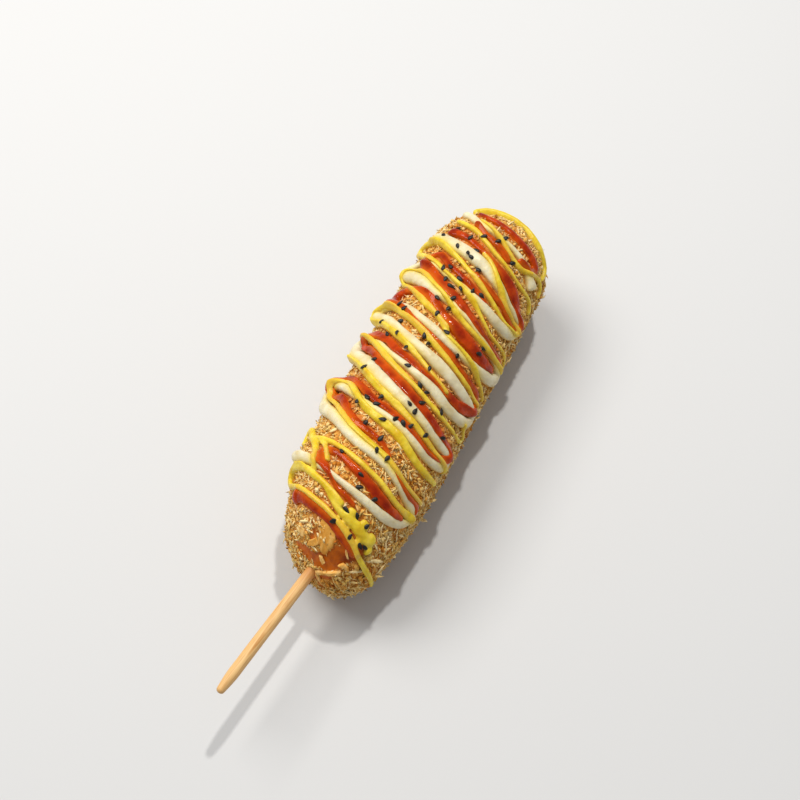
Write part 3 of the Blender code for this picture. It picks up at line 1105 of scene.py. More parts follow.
@dataclass
class Crust:
    """The fried crust's own skin: lumps of batter with a relief of set-in crumbs."""

    form: Form
    bare: BarePatch
    rows: int = 340
    columns: int = 284

    def stains(self, terrain: Terrain, ketchup: Array, run: Array, arc: Array) -> Array:
        """How far ketchup has soaked in at each place: its map blurred by a millimetre, in patches.

        Args:
            terrain: the terrain that the map belongs to.
            ketchup: the ketchup's map.
            run: places along the outline.
            arc: places round it.

        Returns:
            Shares from 0 to 0.8.
        """
        plane = np.stack([run, arc], axis=-1)
        soaked = terrain.read(blurred(ketchup, 1.1 / terrain.cell), plane)
        patchy = 0.8 + 0.5 * soft_noise(np.stack([run, arc, 0 * run], axis=-1), 2.0, 61)
        return np.clip(1.2 * soaked * patchy, 0, 0.8)

    def relief(self, run: Array, arc: Array) -> tuple[Array, Array, Array]:
        """Height of the crust above the plain form.

        Lumps of 9 and 4 mm are the batter's own, and crumb domes of 1.7 and 0.9 mm cover it except
        on the bare patch.

        Args:
            run: places along the outline.
            arc: places round it.

        Returns:
            The height, the crumb relief from 0 to 1, and how bare each place is.
        """
        x, radius, _, _ = self.form.at_run(run)
        angle = arc / self.form.arc_radius
        place = np.stack([x, radius * np.sin(angle), radius * np.cos(angle)], axis=-1)
        lumps = 0.45 * soft_noise(place, 9.0, 11) + 0.2 * soft_noise(place, 4.0, 12)
        crumbs = 1 - np.clip(0.65 * cell_noise(place, 1.7, 13) + 0.35 * cell_noise(place, 0.95, 17), 0, 1)
        bare = self.bare.mask(self.form, run, arc)
        height = lumps + (1 - bare) * (0.75 * crumbs - 0.1) + bare * 0.12 * soft_noise(place, 1.6, 19)
        return height, crumbs, bare

    def build(self, finish: FriedBatter, terrain: Terrain, ketchup: Array) -> bpy.types.Object:
        """Makes the crust, which stands for the solid body.

        Args:
            finish: the batter's finish.
            terrain: the terrain that the map belongs to.
            ketchup: the ketchup's map.

        Returns:
            The piece.
        """
        share = np.linspace(0, 1, self.rows + 2)[1:-1]
        run, arc = np.meshgrid(
            share * self.form.run_end,
            np.linspace(-math.pi, math.pi, self.columns, endpoint=False) * self.form.arc_radius,
            indexing="ij",
        )
        height, crumbs, bare = self.relief(run, arc)
        points = self.form.on_crust(run, arc, height).reshape(-1, 3)
        poles = points.reshape(self.rows, self.columns, 3)[[0, -1]].mean(axis=1)
        values = {
            # The crumb relief sets the batter's colour: pale tops, and brown gaps deepened as painted shade.
            "relief": np.append(crumbs.ravel(), [0.5, 0.5]),
            "bare": np.append(bare.ravel(), [0.0, 0.0]),
            "stain": np.append(self.stains(terrain, ketchup, run, arc).ravel(), [0.0, 0.0]),
        }
        return new_piece(
            "fried_crust",
            np.vstack([points, poles]),
            closed_tube(self.rows, self.columns)[:, ::-1],
            finish.material(),
            "fried_crumb",
            ("fried_body",),
            values,
        )


class CrumbKind(Enum):
    """The shapes that breadcrumb breaks into."""

    GRAIN = "grain"
    CHUNK = "chunk"
    SHARD = "shard"
    SPLINTER = "splinter"


def crumb_shape(kind: CrumbKind) -> tuple[Array, Array]:
    """A crumb of unit half-sizes, before each copy is made uneven.

    A grain is an octahedron, a chunk an icosahedron, and a shard or splinter a pointed tube with
    three rings.

    Args:
        kind: which shape.

    Returns:
        Its points and triangles.
    """
    if kind is CrumbKind.GRAIN:
        ring = np.array([(1, 0, 0), (0, 1, 0), (-1, 0, 0), (0, -1, 0)], float)
        points = np.vstack([ring, [(0, 0, -1), (0, 0, 1)]])
        return points, closed_tube(1, 4)
    rings = 2 if kind is CrumbKind.CHUNK else 3
    sides = 5 if kind is CrumbKind.CHUNK else 4
    level = np.array([-0.45, 0.45]) if kind is CrumbKind.CHUNK else np.array([-0.55, 0.0, 0.55])
    girth = np.sqrt(1 - level**2)
    turn = np.arange(sides) * 2 * math.pi / sides
    turn = turn[None] + (np.arange(rings) % 2)[:, None] * math.pi / sides
    points = np.stack(
        [
            girth[:, None] * np.cos(turn),
            girth[:, None] * np.sin(turn),
            np.broadcast_to(level[:, None], turn.shape),
        ],
        axis=-1,
    ).reshape(-1, 3)
    points = np.vstack([points, [(0, 0, -1), (0, 0, 1)]])
    if kind is CrumbKind.SHARD:
        points = points[:, [2, 1, 0]] * [1, -1, 1]
    return points, closed_tube(rings, sides)


@dataclass
class Crumbs:
    """Many crumbs of one shape, scattered over the crust and joined into one mesh."""

    form: Form
    terrain: Terrain
    covered: Array
    ketchup: Array
    bare: BarePatch
    kind: CrumbKind
    count: int
    size: tuple[float, float, float]
    tilt: float
    seed: int
    tone: tuple[float, float]
    sink: float = 0.15

    def scatter(self, rng: np.random.Generator) -> tuple[Array, Array]:
        """Places on the crust, even over its area but thinner in some patches, off sauce and bare skin.

        Args:
            rng: the seeded source of chance.

        Returns:
            Runs and arcs.
        """
        run = rng.uniform(0.2, self.form.run_end - 0.2, self.count * 4)
        arc = rng.uniform(-math.pi, math.pi, run.size) * self.form.arc_radius
        x, radius, _, _ = self.form.at_run(run)
        angle = arc / self.form.arc_radius
        place = np.stack([x, radius * np.sin(angle), radius * np.cos(angle)], axis=-1)
        keep = rng.uniform(0, 1, run.size) < radius / self.form.radius
        thick = ease(-0.75, 0.1, soft_noise(place, 5.0, 31) + 0.5 * soft_noise(place, 2.2, 32))
        keep &= rng.uniform(0, 1, run.size) < 0.55 + 0.45 * thick
        keep &= rng.uniform(0, 1, run.size) > 1.02 * self.bare.mask(self.form, run, arc)
        sauce = self.terrain.read(self.covered, np.stack([run, arc], axis=-1))
        keep &= (sauce < 0.5) | (np.abs(arc) > self.terrain.edge - 2)
        chosen = np.flatnonzero(keep)[: self.count]
        return run[chosen], arc[chosen]

    def build(self, finish: bpy.types.Material) -> bpy.types.Object:
        """Makes the joined crumbs.

        Args:
            finish: their material.

        Returns:
            The piece.
        """
        rng = np.random.default_rng(self.seed)
        run, arc = self.scatter(rng)
        count = len(run)
        shape, faces = crumb_shape(self.kind)
        uneven = 1 + rng.uniform(-0.3, 0.3, (count, len(shape), 1))
        grown = np.exp(np.clip(rng.normal(0, 0.36, (count, 1, 1)), -0.8, 0.6))
        stretch = rng.uniform((0.75, 0.65, 0.7), (1.3, 1.35, 1.3), (count, 1, 3))
        local = shape[None] * uneven * np.array(self.size) * stretch * grown
        if self.kind in (CrumbKind.SHARD, CrumbKind.SPLINTER):
            bend = rng.uniform(-0.3, 0.45, (count, 1)) / self.size[0]
            local[..., 2] += bend * np.clip(local[..., 0] ** 2, 0, 2.5)
        turn = rng.uniform(0, 2 * math.pi, count)
        lean = rng.normal(0, self.tilt, (count, 2))
        c, s = np.cos(turn)[:, None], np.sin(turn)[:, None]
        x, y, z = local[..., 0], local[..., 1], local[..., 2]
        x, z = x * np.cos(lean[:, :1]) - z * np.sin(lean[:, :1]), x * np.sin(lean[:, :1]) + z * np.cos(lean[:, :1])
        y, z = y * np.cos(lean[:, 1:]) - z * np.sin(lean[:, 1:]), y * np.sin(lean[:, 1:]) + z * np.cos(lean[:, 1:])
        local = np.stack([x * c - y * s, x * s + y * c, z], axis=-1)
        frames = self.form.frames(run, arc)
        offset = np.einsum("nvi,nij->nvj", local, frames)
        crust = Crust(self.form, self.bare)
        height, _, _ = crust.relief(run, arc)
        stain = crust.stains(self.terrain, self.ketchup, run, arc)
        lift = height + self.size[2] * 0.5 * grown[:, 0, 0] - self.sink + rng.uniform(-0.1, 0.25, count)
        ones = np.ones((1, len(shape)))
        points = self.form.on_crust(run[:, None] * ones, arc[:, None] * ones, lift[:, None] * ones, offset)
        x, radius, _, _ = self.form.at_run(run)
        angle = arc / self.form.arc_radius
        spot = np.stack([x, radius * np.sin(angle), radius * np.cos(angle)], axis=-1)
        browned = 0.13 * soft_noise(spot, 7.0, 33) + 0.09 * soft_noise(spot, 2.6, 34)
        tone = np.clip(rng.normal(self.tone[0], self.tone[1], count) + browned, 0, 1)
        all_faces = (faces[None] + (np.arange(count) * len(shape))[:, None, None]).reshape(-1, 3)
        return new_piece(
            f"crumb_{self.kind.value}s",
            points.reshape(-1, 3),
            all_faces,
            finish,
            "fried_crumb",
            values={"tone": np.repeat(tone, len(shape)), "stain": np.repeat(stain, len(shape))},
        )


@dataclass
class Flake:
    """A broad thin flake of crumb stuck on the stick end, its outline as points across and up."""

    outline: tuple[tuple[float, float], ...]
    rise: float = 0.6
    tone: float = 0.7

    def surface(self, form: Form, index: int) -> tuple[Array, Array, Array]:
        """A flat-bellied lens with a ragged rim, laid on the crust.

        Rings run from the middle to the rim on the under side, and back over it.

        Args:
            form: the crust's form.
            index: the flake's number, which seeds its rim.

        Returns:
            Its points, triangles and tones.
        """
        corners = np.array(self.outline, float)
        closed = np.vstack([corners, corners[:1]])
        way = np.concatenate([[0], np.cumsum(np.linalg.norm(np.diff(closed, axis=0), axis=1))])
        even = np.linspace(0, way[-1], 48, endpoint=False)
        rim = np.column_stack([np.interp(even, way, closed[:, k]) for k in range(2)])
        rim = (np.roll(rim, 1, axis=0) + 2 * rim + np.roll(rim, -1, axis=0)) / 4
        level = np.array([0.3, 0.85, 1.0, 0.9, 0.72, 0.5, 0.25, 0.08])
        raised = np.array([-0.6, -0.5, 0.35, 0.9, 1.0, 1.0, 1.0, 1.0])
        seed = 200 + 7 * index
        place = np.column_stack([rim, np.zeros(len(rim))])
        ragged = 1 + 0.12 * soft_noise(place, 1.6, seed) + 0.07 * soft_noise(place, 0.6, seed + 1)
        middle = rim.mean(axis=0)
        spread = (rim - middle)[None] * (level[:, None] * ragged[None])[..., None]
        across, up = middle[0] + spread[..., 0], middle[1] + spread[..., 1]
        table = form.outline
        rising = table[1] < form.stick_end[0]
        run = np.interp(np.hypot(across, up), table[2][rising], table[0][rising])
        arc = np.arctan2(across, up) * form.arc_radius
        wrinkle = np.stack([across * 1.6, up * 0.6, 0 * up], axis=-1)
        crinkled = 0.13 * soft_noise(wrinkle, 1.5, seed + 2) + 0.08 * soft_noise(wrinkle, 0.5, seed + 3)
        lumps, _, _ = Crust(form, BarePatch()).relief(run, arc)
        over = raised > 0
        height = 0.3 * lumps + 0.25 + self.rise * raised[:, None] + crinkled * over[:, None]
        points = form.on_crust(run, arc, height).reshape(-1, 3)
        rings = points.reshape(len(level), len(rim), 3)
        tips = np.stack([rings[0].mean(axis=0), rings[-1].mean(axis=0)])
        tone = np.clip(self.tone + 1.4 * crinkled, 0, 1).ravel()
        return np.vstack([points, tips]), closed_tube(len(level), len(rim)), np.append(tone, [self.tone] * 2)


def build_flakes(form: Form, flakes: Sequence[Flake], finish: bpy.types.Material) -> bpy.types.Object:
    """Makes the broad flakes as one piece.

    Args:
        form: the crust's form.
        flakes: the flakes.
        finish: their material.

    Returns:
        The piece.
    """
    made = [flake.surface(form, index) for index, flake in enumerate(flakes)]
    starts = np.cumsum([0] + [len(points) for points, _, _ in made[:-1]])
    return new_piece(
        "crust_flakes",
        np.vstack([points for points, _, _ in made]),
        np.vstack([faces + start for (_, faces, _), start in zip(made, starts)]),
        finish,
        "fried_crumb",
        values={"tone": np.concatenate([tone for _, _, tone in made])},
    )


# ---------------------------------------------------------------------------------------------------
# Seeds and stick
# ---------------------------------------------------------------------------------------------------


@dataclass
class SesameSeeds:
    """Black sesame seeds lying on the sauce: teardrops, pointed at one end and flattened."""

    form: Form
    terrain: Terrain
    places: tuple[tuple[float, float], ...]
    length: float = 2.8
    width: float = 1.75
    thickness: float = 0.9
    seed: int = 5

    def build(self, finish: SesameCoat) -> bpy.types.Object:
        """Makes the joined seeds.

        A seed's girth follows the sine of the way along it, drawn in towards the pointed end.

        Args:
            finish: the hull's finish.

        Returns:
            The piece.
        """
        rng = np.random.default_rng(self.seed)
        way = np.linspace(0, 1, 9)[1:-1]
        turn = np.linspace(0, 2 * math.pi, 10, endpoint=False)
        girth = np.sin(math.pi * way**0.8) ** 0.75 * (1 - 0.25 * way)
        shape = np.stack(
            [
                np.broadcast_to((way - 0.45)[:, None], (7, 10)) * self.length,
                girth[:, None] * np.cos(turn) * self.width / 2,
                girth[:, None] * np.sin(turn) * self.thickness / 2,
            ],
            axis=-1,
        ).reshape(-1, 3)
        shape = np.vstack([shape, [(-0.45 * self.length, 0, 0), (0.55 * self.length, 0, 0)]])
        faces = closed_tube(7, 10)
        places = np.array(self.places)
        run, arc, count = self.form.run_of(places[:, 0]), places[:, 1], len(places)
        local = shape[None] * rng.uniform(0.88, 1.12, (count, 1, 1))
        turned, lean = rng.uniform(0, 2 * math.pi, (count, 1)), rng.normal(0, 0.16, (count, 2))
        x, y, z = local[..., 0], local[..., 1], local[..., 2]
        z = z + x * np.sin(lean[:, :1]) + y * np.sin(lean[:, 1:])
        local = np.stack(
            [x * np.cos(turned) - y * np.sin(turned), x * np.sin(turned) + y * np.cos(turned), z], axis=-1
        )
        offset = np.einsum("nvi,nij->nvj", local, self.form.frames(run, arc))
        under = self.terrain.read(self.terrain.smooth(0.6), np.stack([run, arc], axis=-1))
        ones = np.ones((1, len(shape)))
        points = self.form.on_crust(run[:, None] * ones, arc[:, None] * ones, (under + 0.25)[:, None] * ones, offset)
        all_faces = (faces[None] + (np.arange(count) * len(shape))[:, None, None]).reshape(-1, 3)
        return new_piece("sesame_seeds", points.reshape(-1, 3), all_faces, finish.material(), "black_sesame")


@dataclass
class Skewer:
    """The round stick: turned, slightly uneven, with a blunt tapered tip."""

    form: Form
    diameter: float = 4.1
    shown: float = 52.5
    held: float = 23.0
    yaw: float = 7.0
    pitch: float = 4.0
    taper: float = 9.0
    tip_diameter: float = 2.6
    rows: int = 150
    columns: int = 40

    def build(self, finish: TurnedBamboo) -> bpy.types.Object:
        """Makes the stick, which stands for the solid one.

        Its radius is full up to the taper, then falls by a sine to the tip, which a quarter circle
        rounds off; faint waves make it look hand finished.

        Args:
            finish: the bamboo's finish.

        Returns:
            The piece.
        """
        yaw, pitch = math.radians(self.yaw), math.radians(self.pitch)
        out = np.array([-math.cos(yaw) * math.cos(pitch), math.sin(yaw) * math.cos(pitch), math.sin(pitch)])
        side = np.cross([0, 0, 1], out)
        side /= np.linalg.norm(side)
        upper = np.cross(out, side)
        root = self.form.place(np.array(0.0), np.array(0.0), np.array(0.0))
        way = np.sort(np.concatenate([
            np.linspace(-self.held, self.shown - 2, self.rows),
            self.shown - 2 * (1 - np.sin(np.linspace(0.05, math.pi / 2, 12))),
        ]))
        full, tip = self.diameter / 2, self.tip_diameter / 2
        into = np.clip((way - self.shown + self.taper) / self.taper, 0, 1)
        girth = full - (full - tip) * (1 - np.cos(into * math.pi / 2))
        from_tip = np.clip((self.shown - way) / 1.0, 0, 1)
        girth = girth * np.sqrt(np.clip(1 - (1 - from_tip) ** 2, 0.0004, 1))
        turn = np.linspace(0, 2 * math.pi, self.columns, endpoint=False)
        where = np.stack(np.broadcast_arrays(way[:, None] * 0.25, 2 * np.cos(turn), 2 * np.sin(turn)), axis=-1)
        girth = girth[:, None] * (1 + 0.018 * soft_noise(where, 1.0, 91))
        points = (
            root
            + way[:, None, None] * out
            + girth[..., None] * (np.cos(turn)[:, None] * side + np.sin(turn)[:, None] * upper)
        )
        tips = points[[0, -1]].mean(axis=1)
        along = np.broadcast_to(way[:, None] / 12.0, girth.shape).ravel()
        around = np.broadcast_to(3.0 * np.sin(turn) * full / 0.5 + 5 * np.cos(turn), girth.shape).ravel()
        # Darker over the 9 mm of stick next to the crust.
        oiled = np.broadcast_to(ease(9.0, 0.0, way)[:, None] * 0.8, girth.shape).ravel()
        values = {
            "along": np.append(along, [along[0], along[-1]]),
            "side": np.append(around, [0, 0]),
            "oiled": np.append(oiled, [0.8, 0]),
        }
        return new_piece(
            "bamboo_stick",
            np.vstack([points.reshape(-1, 3), tips]),
            closed_tube(len(way), self.columns),
            finish.material(),
            "bamboo",
            ("stick",),
            values,
        )


# ---------------------------------------------------------------------------------------------------
# Where each sauce goes
# ---------------------------------------------------------------------------------------------------

# Each line's points are x, arc and width, and where the line hangs clear of the crust, how far.
MAYONNAISE_LINES = (
    (
        (29.4, 26, 6.2, 0.8), (27, 17.5, 4.6), (23.3, 6, 2.4), (21.7, 0, 2.7), (20.7, -10, 3.4),
        (21.6, -20, 3.4), (26, -29, 3.4), (30.3, -30.5, 3.4), (32.3, -20, 2.8), (36, -10, 3.6),
        (38.5, 0, 4.2), (41, 6, 4.3), (47.8, 18, 4.4), (52.5, 27, 5, 1), (58.5, 31, 4.8, 1.8),
        (62.5, 27.5, 4.2, 1.4), (59.5, 19, 3.2, 0.4), (54, 6, 2.8), (51, -7, 3), (47.8, -20, 3.5),
        (50.6, -30, 4), (55, -31, 3.8), (55.7, -20, 3.2), (59.5, -7, 3.9), (65, 6, 4.9), (72.5, 18.5, 5.2),
        (76.5, 27, 5.8, 1.3), (81, 29.5, 5.8, 1.6), (83.5, 25, 3.2, 0.8), (81, 17, 2.6), (75.5, 6, 2.4),
        (71.3, -7, 4.2), (67.8, -20, 4), (70.6, -30.5, 4), (75.4, -31, 3.8), (76.7, -20, 4.4),
        (80, -7, 4.6), (85, 6, 3.8), (92.5, 19.5, 4), (95.5, 28, 4.8, 1.4), (99.5, 27, 4, 1.2),
        (98.5, 14, 3), (94.5, 6, 3.8), (89.7, -7, 3.2), (88.3, -20, 3.8), (91.6, -31.5, 4.8),
        (97, -34.5, 4),
        (99, -20, 2.2), (103, -7, 2.4), (107.9, 6, 4.6), (113.5, 18, 5.2), (116.5, 26, 5.4, 1),
        (120.6, 21.5, 3, 0.3), (119.5, 12, 2.4), (115.5, 4, 2.2), (111.5, -7, 3), (109, -20, 4.7),
        (111.5, -29, 4.4), (117.5, -31, 4.2), (119, -20, 2.6), (124.5, -7, 4.9), (129.3, 6, 5.3),
        (133.6, 17, 4.9), (135.6, 22.5, 4.4, 0.3),
    ),
    (
        (149.4, 16.5, 3.4, 0.4), (146.8, 11, 3.2), (143.6, 5, 2.8), (140.6, -4, 2.4), (138.3, -14, 2.2),
        (135.5, -21, 2.8), (132.2, -27, 5.8),
    ),
)
KETCHUP_LINES = (
    (
        (12.2, 21.4, 5, 0.1), (11.5, 14.6, 4.5), (10.5, 9, 4.2), (9.4, 2, 3.8), (8.4, -6, 4),
        (8, -12, 4.4), (7.8, -17, 4.8), (7.2, -21, 4.2),
    ),
    (
        (16.8, -8, 1.6), (18, -3, 2), (19.4, 1.5, 1.6), (22, 5, 1.6), (25, 8.4, 3.1),
        (28.4, 12.2, 4.4), (32, 12.2, 3.7), (32.2, 7, 2.9), (29.2, -0.6, 3.3), (25.6, -10.8, 4.2),
        (24.8, -19, 3.5), (26.4, -26.8, 2.6),
    ),
    (
        (30.6, -30.5, 2.6), (33.3, -29, 3.7), (33.4, -20.5, 2.8), (36, -13, 1.5), (42, -6, 1.8),
        (46, 6, 2.9), (49.5, 12, 3.2), (55.3, 19, 3.3), (57.5, 26, 3, 0.8), (62.5, 27.5, 2.9, 1.2),
        (64.5, 20, 2.5, 0.5), (57.2, 6, 2.9), (53.5, -7, 2.8), (50, -20, 2.5), (53, -28.6, 3.3),
        (57, -29.8, 3.5), (58.8, -20, 3.2), (63.3, -7, 3.7), (69.7, 6, 3.7), (77.5, 18, 3.2),
        (80.5, 24, 3, 0.6), (85, 22, 4, 0.6), (82.5, 13, 3.4), (78.3, 6, 3.2), (73.5, -7, 2.8),
        (72, -20, 3.5), (74.3, -28.6, 3.7), (78.2, -30.8, 3.3), (82, -28.4, 2.4), (82.8, -20, 2.2),
        (86.6, -7, 2.4), (92.3, 6, 1.9), (97.5, 14, 2.2), (101.5, 21.5, 3.5, 0.8), (105.5, 22, 3.7, 0.8),
        (107, 15, 3.2), (103.7, 6, 3.5), (99.5, 0, 4.2), (96.2, -7, 5.2), (93, -20, 4.9),
        (94.6, -30.5, 3.4),
    ),
    (
        (98.3, -33.5, 2.5), (100, -30, 2.4), (100.5, -20, 2.4), (105, -7, 3.7), (112.4, 6, 3.6),
        (116.6, 12.4, 4.2), (119.4, 16.6, 4.6, 0.2), (123.6, 17.6, 2.4, 0.2), (125.4, 12.6, 2.6), (120.5, 6, 2.3),
        (115, -6, 2.4), (112, -13, 1.5),
    ),
    (
        (121.5, -3, 1.5), (119.5, -7, 2.2), (115.5, -20, 2.2), (114.6, -27, 2.2), (117, -31, 2.6),
        (119.5, -27.5, 3.6), (124, -19.5, 5.1), (127, -12.4, 3.4), (128.8, -7.6, 2.6), (131.8, -1, 2.4),
        (134.8, 5.2, 2.6), (136.8, 12, 3.9, 0.2), (137.4, 15, 4, 0.4),
    ),
    ((143.2, 7, 1.8), (141.8, 4.6, 2.4), (139, 0, 2.4), (136, -7, 2.9), (132.8, -12.5, 2.4)),
    (
        (151, 11, 1.6, 0.4), (148.8, 4.4, 2.4, 0.2), (145.6, -7.6, 2.9), (142.2, -19.6, 3.6),
        (139.8, -24, 3), (137, -19.5, 2.6), (136.6, -14.5, 2.3),
    ),
)
MUSTARD_LINES = (
    (
        (11, -46, 1.7), (9, -36, 2), (8, -27.4, 2), (7.9, -20, 2), (9.3, -10, 2.2), (10.7, 0, 2),
        (12.8, 10, 2.2), (15.4, 20, 2.3, 0.3), (17.6, 28, 2.6, 0.5), (21, 31, 2.8, 0.6),
        (24.6, 28.5, 3.2, 0.4), (24, 21, 3.4), (22, 15, 3.2), (19.5, 9, 2.8), (16.8, 2, 2.6),
        (14.4, -4, 3),
    ),
    (
        (18.2, 6, 1.8), (15.2, 2, 1.8), (13, -2.5, 2.2), (12.6, -8, 3.2), (12.4, -13, 4.2),
        (12.2, -17.5, 4), (12.6, -21.5, 3.4),
    ),
    (
        (21.8, 12.2, 2.8), (25.4, 12.9, 2.4), (29.9, 15.3, 2.4), (35, 18.8, 2.8), (38.6, 23, 2.6, 0.3),
        (42.6, 28, 2.6, 0.8), (40.4, 30.5, 1.6, 0.8), (36, 28.5, 1.5, 0.4),
    ),
    (
        (38, 22, 2.3), (37.6, 17, 2.1), (36.4, 12, 2.2), (35.4, 8.3, 2), (32.6, -0.3, 2.3),
        (29.8, -10.4, 2.1), (27.8, -20, 2.3), (29.2, -32.5, 2.5),
    ),
    ((37, 17.5, 1.8), (33.4, 12.2, 1.8), (30, 10, 1.8), (27.2, 8.3, 1.5)),
    (
        (35.2, -31.5, 1.8), (34.6, -20, 2.3), (38.6, -7.4, 2.5), (43.5, 6, 2.1), (52.3, 19, 1.8),
        (56.5, 26, 1.9), (62, 26, 2), (61.5, 18, 2), (52.3, 6, 2.7), (48, -7, 3),
        (43.4, -20.4, 2.8), (44.6, -33, 1.9),
    ),
    (
        (50.5, -34, 1.8), (52.3, -20, 2.2), (56, -7, 2.5), (61.5, 6, 2.5), (70, 19, 2.3),
        (73.6, 25, 1.9), (75.6, 28, 1.5),
    ),
    (
        (84.6, 27.6, 1.4, 0.8), (84.2, 24, 1.9, 0.2), (80.5, 18, 2.3), (72.7, 6, 2.3), (66.7, -7, 2),
        (63.6, -20, 1.6), (64.2, -33, 1.6), (67.2, -34.5, 1.6), (69, -28, 1.4),
    ),
    (
        (71.8, -16, 1.6), (75.7, -7, 1.7), (82.3, 6, 2.1), (89.8, 19.5, 2.3), (93.4, 28, 2),
        (98, 29, 2), (98.4, 20.5, 2.3), (91.2, 6, 2.3), (84.7, -7, 2.2), (80.8, -20, 1.6),
        (79, -34, 1.7),
    ),
    (
        (84, -35, 1.6), (87.3, -20, 1.7), (91.5, -7, 1.9), (94.5, -4, 2.3), (98, 1.5, 1.8),
        (100.7, 6, 2.5), (108.7, 18, 1.8), (112, 24, 2), (117, 23, 2), (115.5, 15, 1.9),
        (108.5, 5, 1.8), (100.7, -7, 1.9), (97.7, -20, 1.7), (98.5, -35, 1.7), (101.8, -38.5, 1.6),
        (104.5, -32.5, 1.5), (103.3, -20, 1.4), (109.8, -7, 1.8), (116.8, 6, 1.7), (121, 12, 1.9),
        (126, 22, 2.5, 0.3), (129.6, 28.6, 2.5, 0.6), (133, 29, 2.6, 0.6), (133.2, 23, 2.8, 0.2),
        (131, 16, 2.5), (125.2, 6, 2),
        (117.8, -7, 2), (112.5, -20, 1.6), (112.8, -30, 1.7), (115, -29.5, 1.6), (116.7, -20, 1.7),
        (121.5, -13, 2.1), (127.5, -7, 1.7), (130.5, -2, 1.4),
    ),
    (
        (143.8, 15.5, 1.9, 0.4), (139.8, 6, 2), (132.7, -7, 1.7), (128.8, -20, 1.5), (128.7, -29.5, 1.9),
        (125.8, -34, 2),
    ),
    (
        (145.5, 6, 1.4), (144, 3, 1.6), (138.3, -7, 1.7), (134.6, -15, 1.8), (134.9, -20, 1.8),
        (138.6, -27, 1.8), (138, -32, 1.8), (135, -35, 1.7),
    ),
    (
        (151, 12.6, 3.4, 0.5), (152.8, 13.8, 3.2, 0.8), (154, 11, 3.1, 1.1), (155.2, 5, 3.1, 1.2),
        (155.2, -5, 3.1, 0.9), (154, -13, 3.1, 0.6), (151, -20, 3.2, 0.4), (147.3, -29, 2.8),
        (143, -30.5, 2.1), (139.8, -29.5, 1.9),
    ),
)
PUDDLE_DROPS = (
    (14.6, -8, 2, 1.5), (14.4, -14.6, 2.2, 1.5), (13.4, -20.6, 2.4, 1.7), (11.2, -22.4, 1.9, 1.5),
    (10.8, -16.6, 2, 1.4),
)
SEED_PLACES = (
    (9.2, -3.5), (14.3, -5.5), (15, -10), (14.8, -15), (9.2, -12), (9.8, -17.5), (10.7, -20), (33, 5.5),
    (27.5, -4), (23.5, -5.5), (23, -12), (38.5, -4.5), (37.5, -8.5), (43.6, -3.6), (50, -1.3),
    (46.6, 3.6), (53.6, 9.8), (53.6, -16), (52.3, -7.5), (52.8, -10), (52.3, -4.7), (57.6, -22.3),
    (58.3, -8.9), (59.8, -6.2), (54.8, 3.3), (56.3, 7.5), (58.3, 3.3), (65, -17.2), (63, -9.5),
    (67.6, -9.3), (68.6, -6.2), (76.1, -6.2), (73.3, 0.5), (80.5, 4.5), (85.1, 10), (84.6, 14.3),
    (68.1, 14.8), (72.6, 13.2), (85.3, -1.7), (87.3, 0.7), (86.8, -12.4), (92.3, -5.2), (91.6, 12.5),
    (96.8, 13), (98.6, 15.5), (97.8, 0.7), (102, -1.7), (104.3, 3.6), (90.8, 20.5), (93.1, -18.8),
    (96.5, -19.8), (106, -1.5), (111.6, -2), (111.3, 1.7), (113.6, 4.7), (115.5, 0.2), (113.3, -9.3),
    (112.8, -6), (117.6, 7.2), (119.6, 5.5), (122.6, -3.9), (125.6, 0.3), (126.9, 2), (129.8, 0),
    (128.8, 6.7), (133.6, -13.4), (137.3, 0.5), (137.8, -4.8), (140.3, -6.4), (134.1, 15), (139.1, 12),
    (135.1, 4.8),
)
FLAKES = (
    Flake(
        (
            (2.2, 18.2), (-0.6, 19.4), (-4.2, 17.8), (-5.6, 15.2), (-5.4, 12.4), (-4, 10), (-2.2, 9.7),
            (-0.5, 11.8), (0.6, 14), (1.4, 16),
        ),
        0.6,
        0.45,
    ),
    Flake(((3.8, 8.5), (3.6, 10.3), (1.1, 12.9), (-0.7, 11.9), (1.4, 9.8)), 0.6, 0.5),
    Flake(((-1.6, 8.8), (-3, 8.8), (-4.6, 7.3), (-3.8, 6), (-2.4, 7.6)), 0.7, 0.65),
    Flake(((-1.5, 1.9), (-6, 4.6), (-10.8, 6.9), (-10.9, 5.6), (-6, 3.2), (-2, 0.8)), 0.8, 0.65),
    Flake(((-1.8, 1.4), (-3.4, 0.2), (-5.4, -2.2), (-4.6, -3.1), (-2.6, -1), (-1.4, 0.6)), 0.8, 0.65),
    Flake(((-8.5, 8.1), (-10.3, 9.3), (-12.6, 7.9), (-12.6, 6.6), (-10.9, 7.6)), 0.8, 0.6),
    Flake(((8.8, 12), (6.2, 11.9), (5.2, 9.8), (7, 9.2), (9, 10.4)), 0.7, 0.7),
    Flake(((-9.4, 14.2), (-10.6, 12.4), (-11.8, 10.2), (-11.2, 10.2), (-9.8, 12.2)), 0.4, 0.8),
)


# ---------------------------------------------------------------------------------------------------
# Stage
# ---------------------------------------------------------------------------------------------------


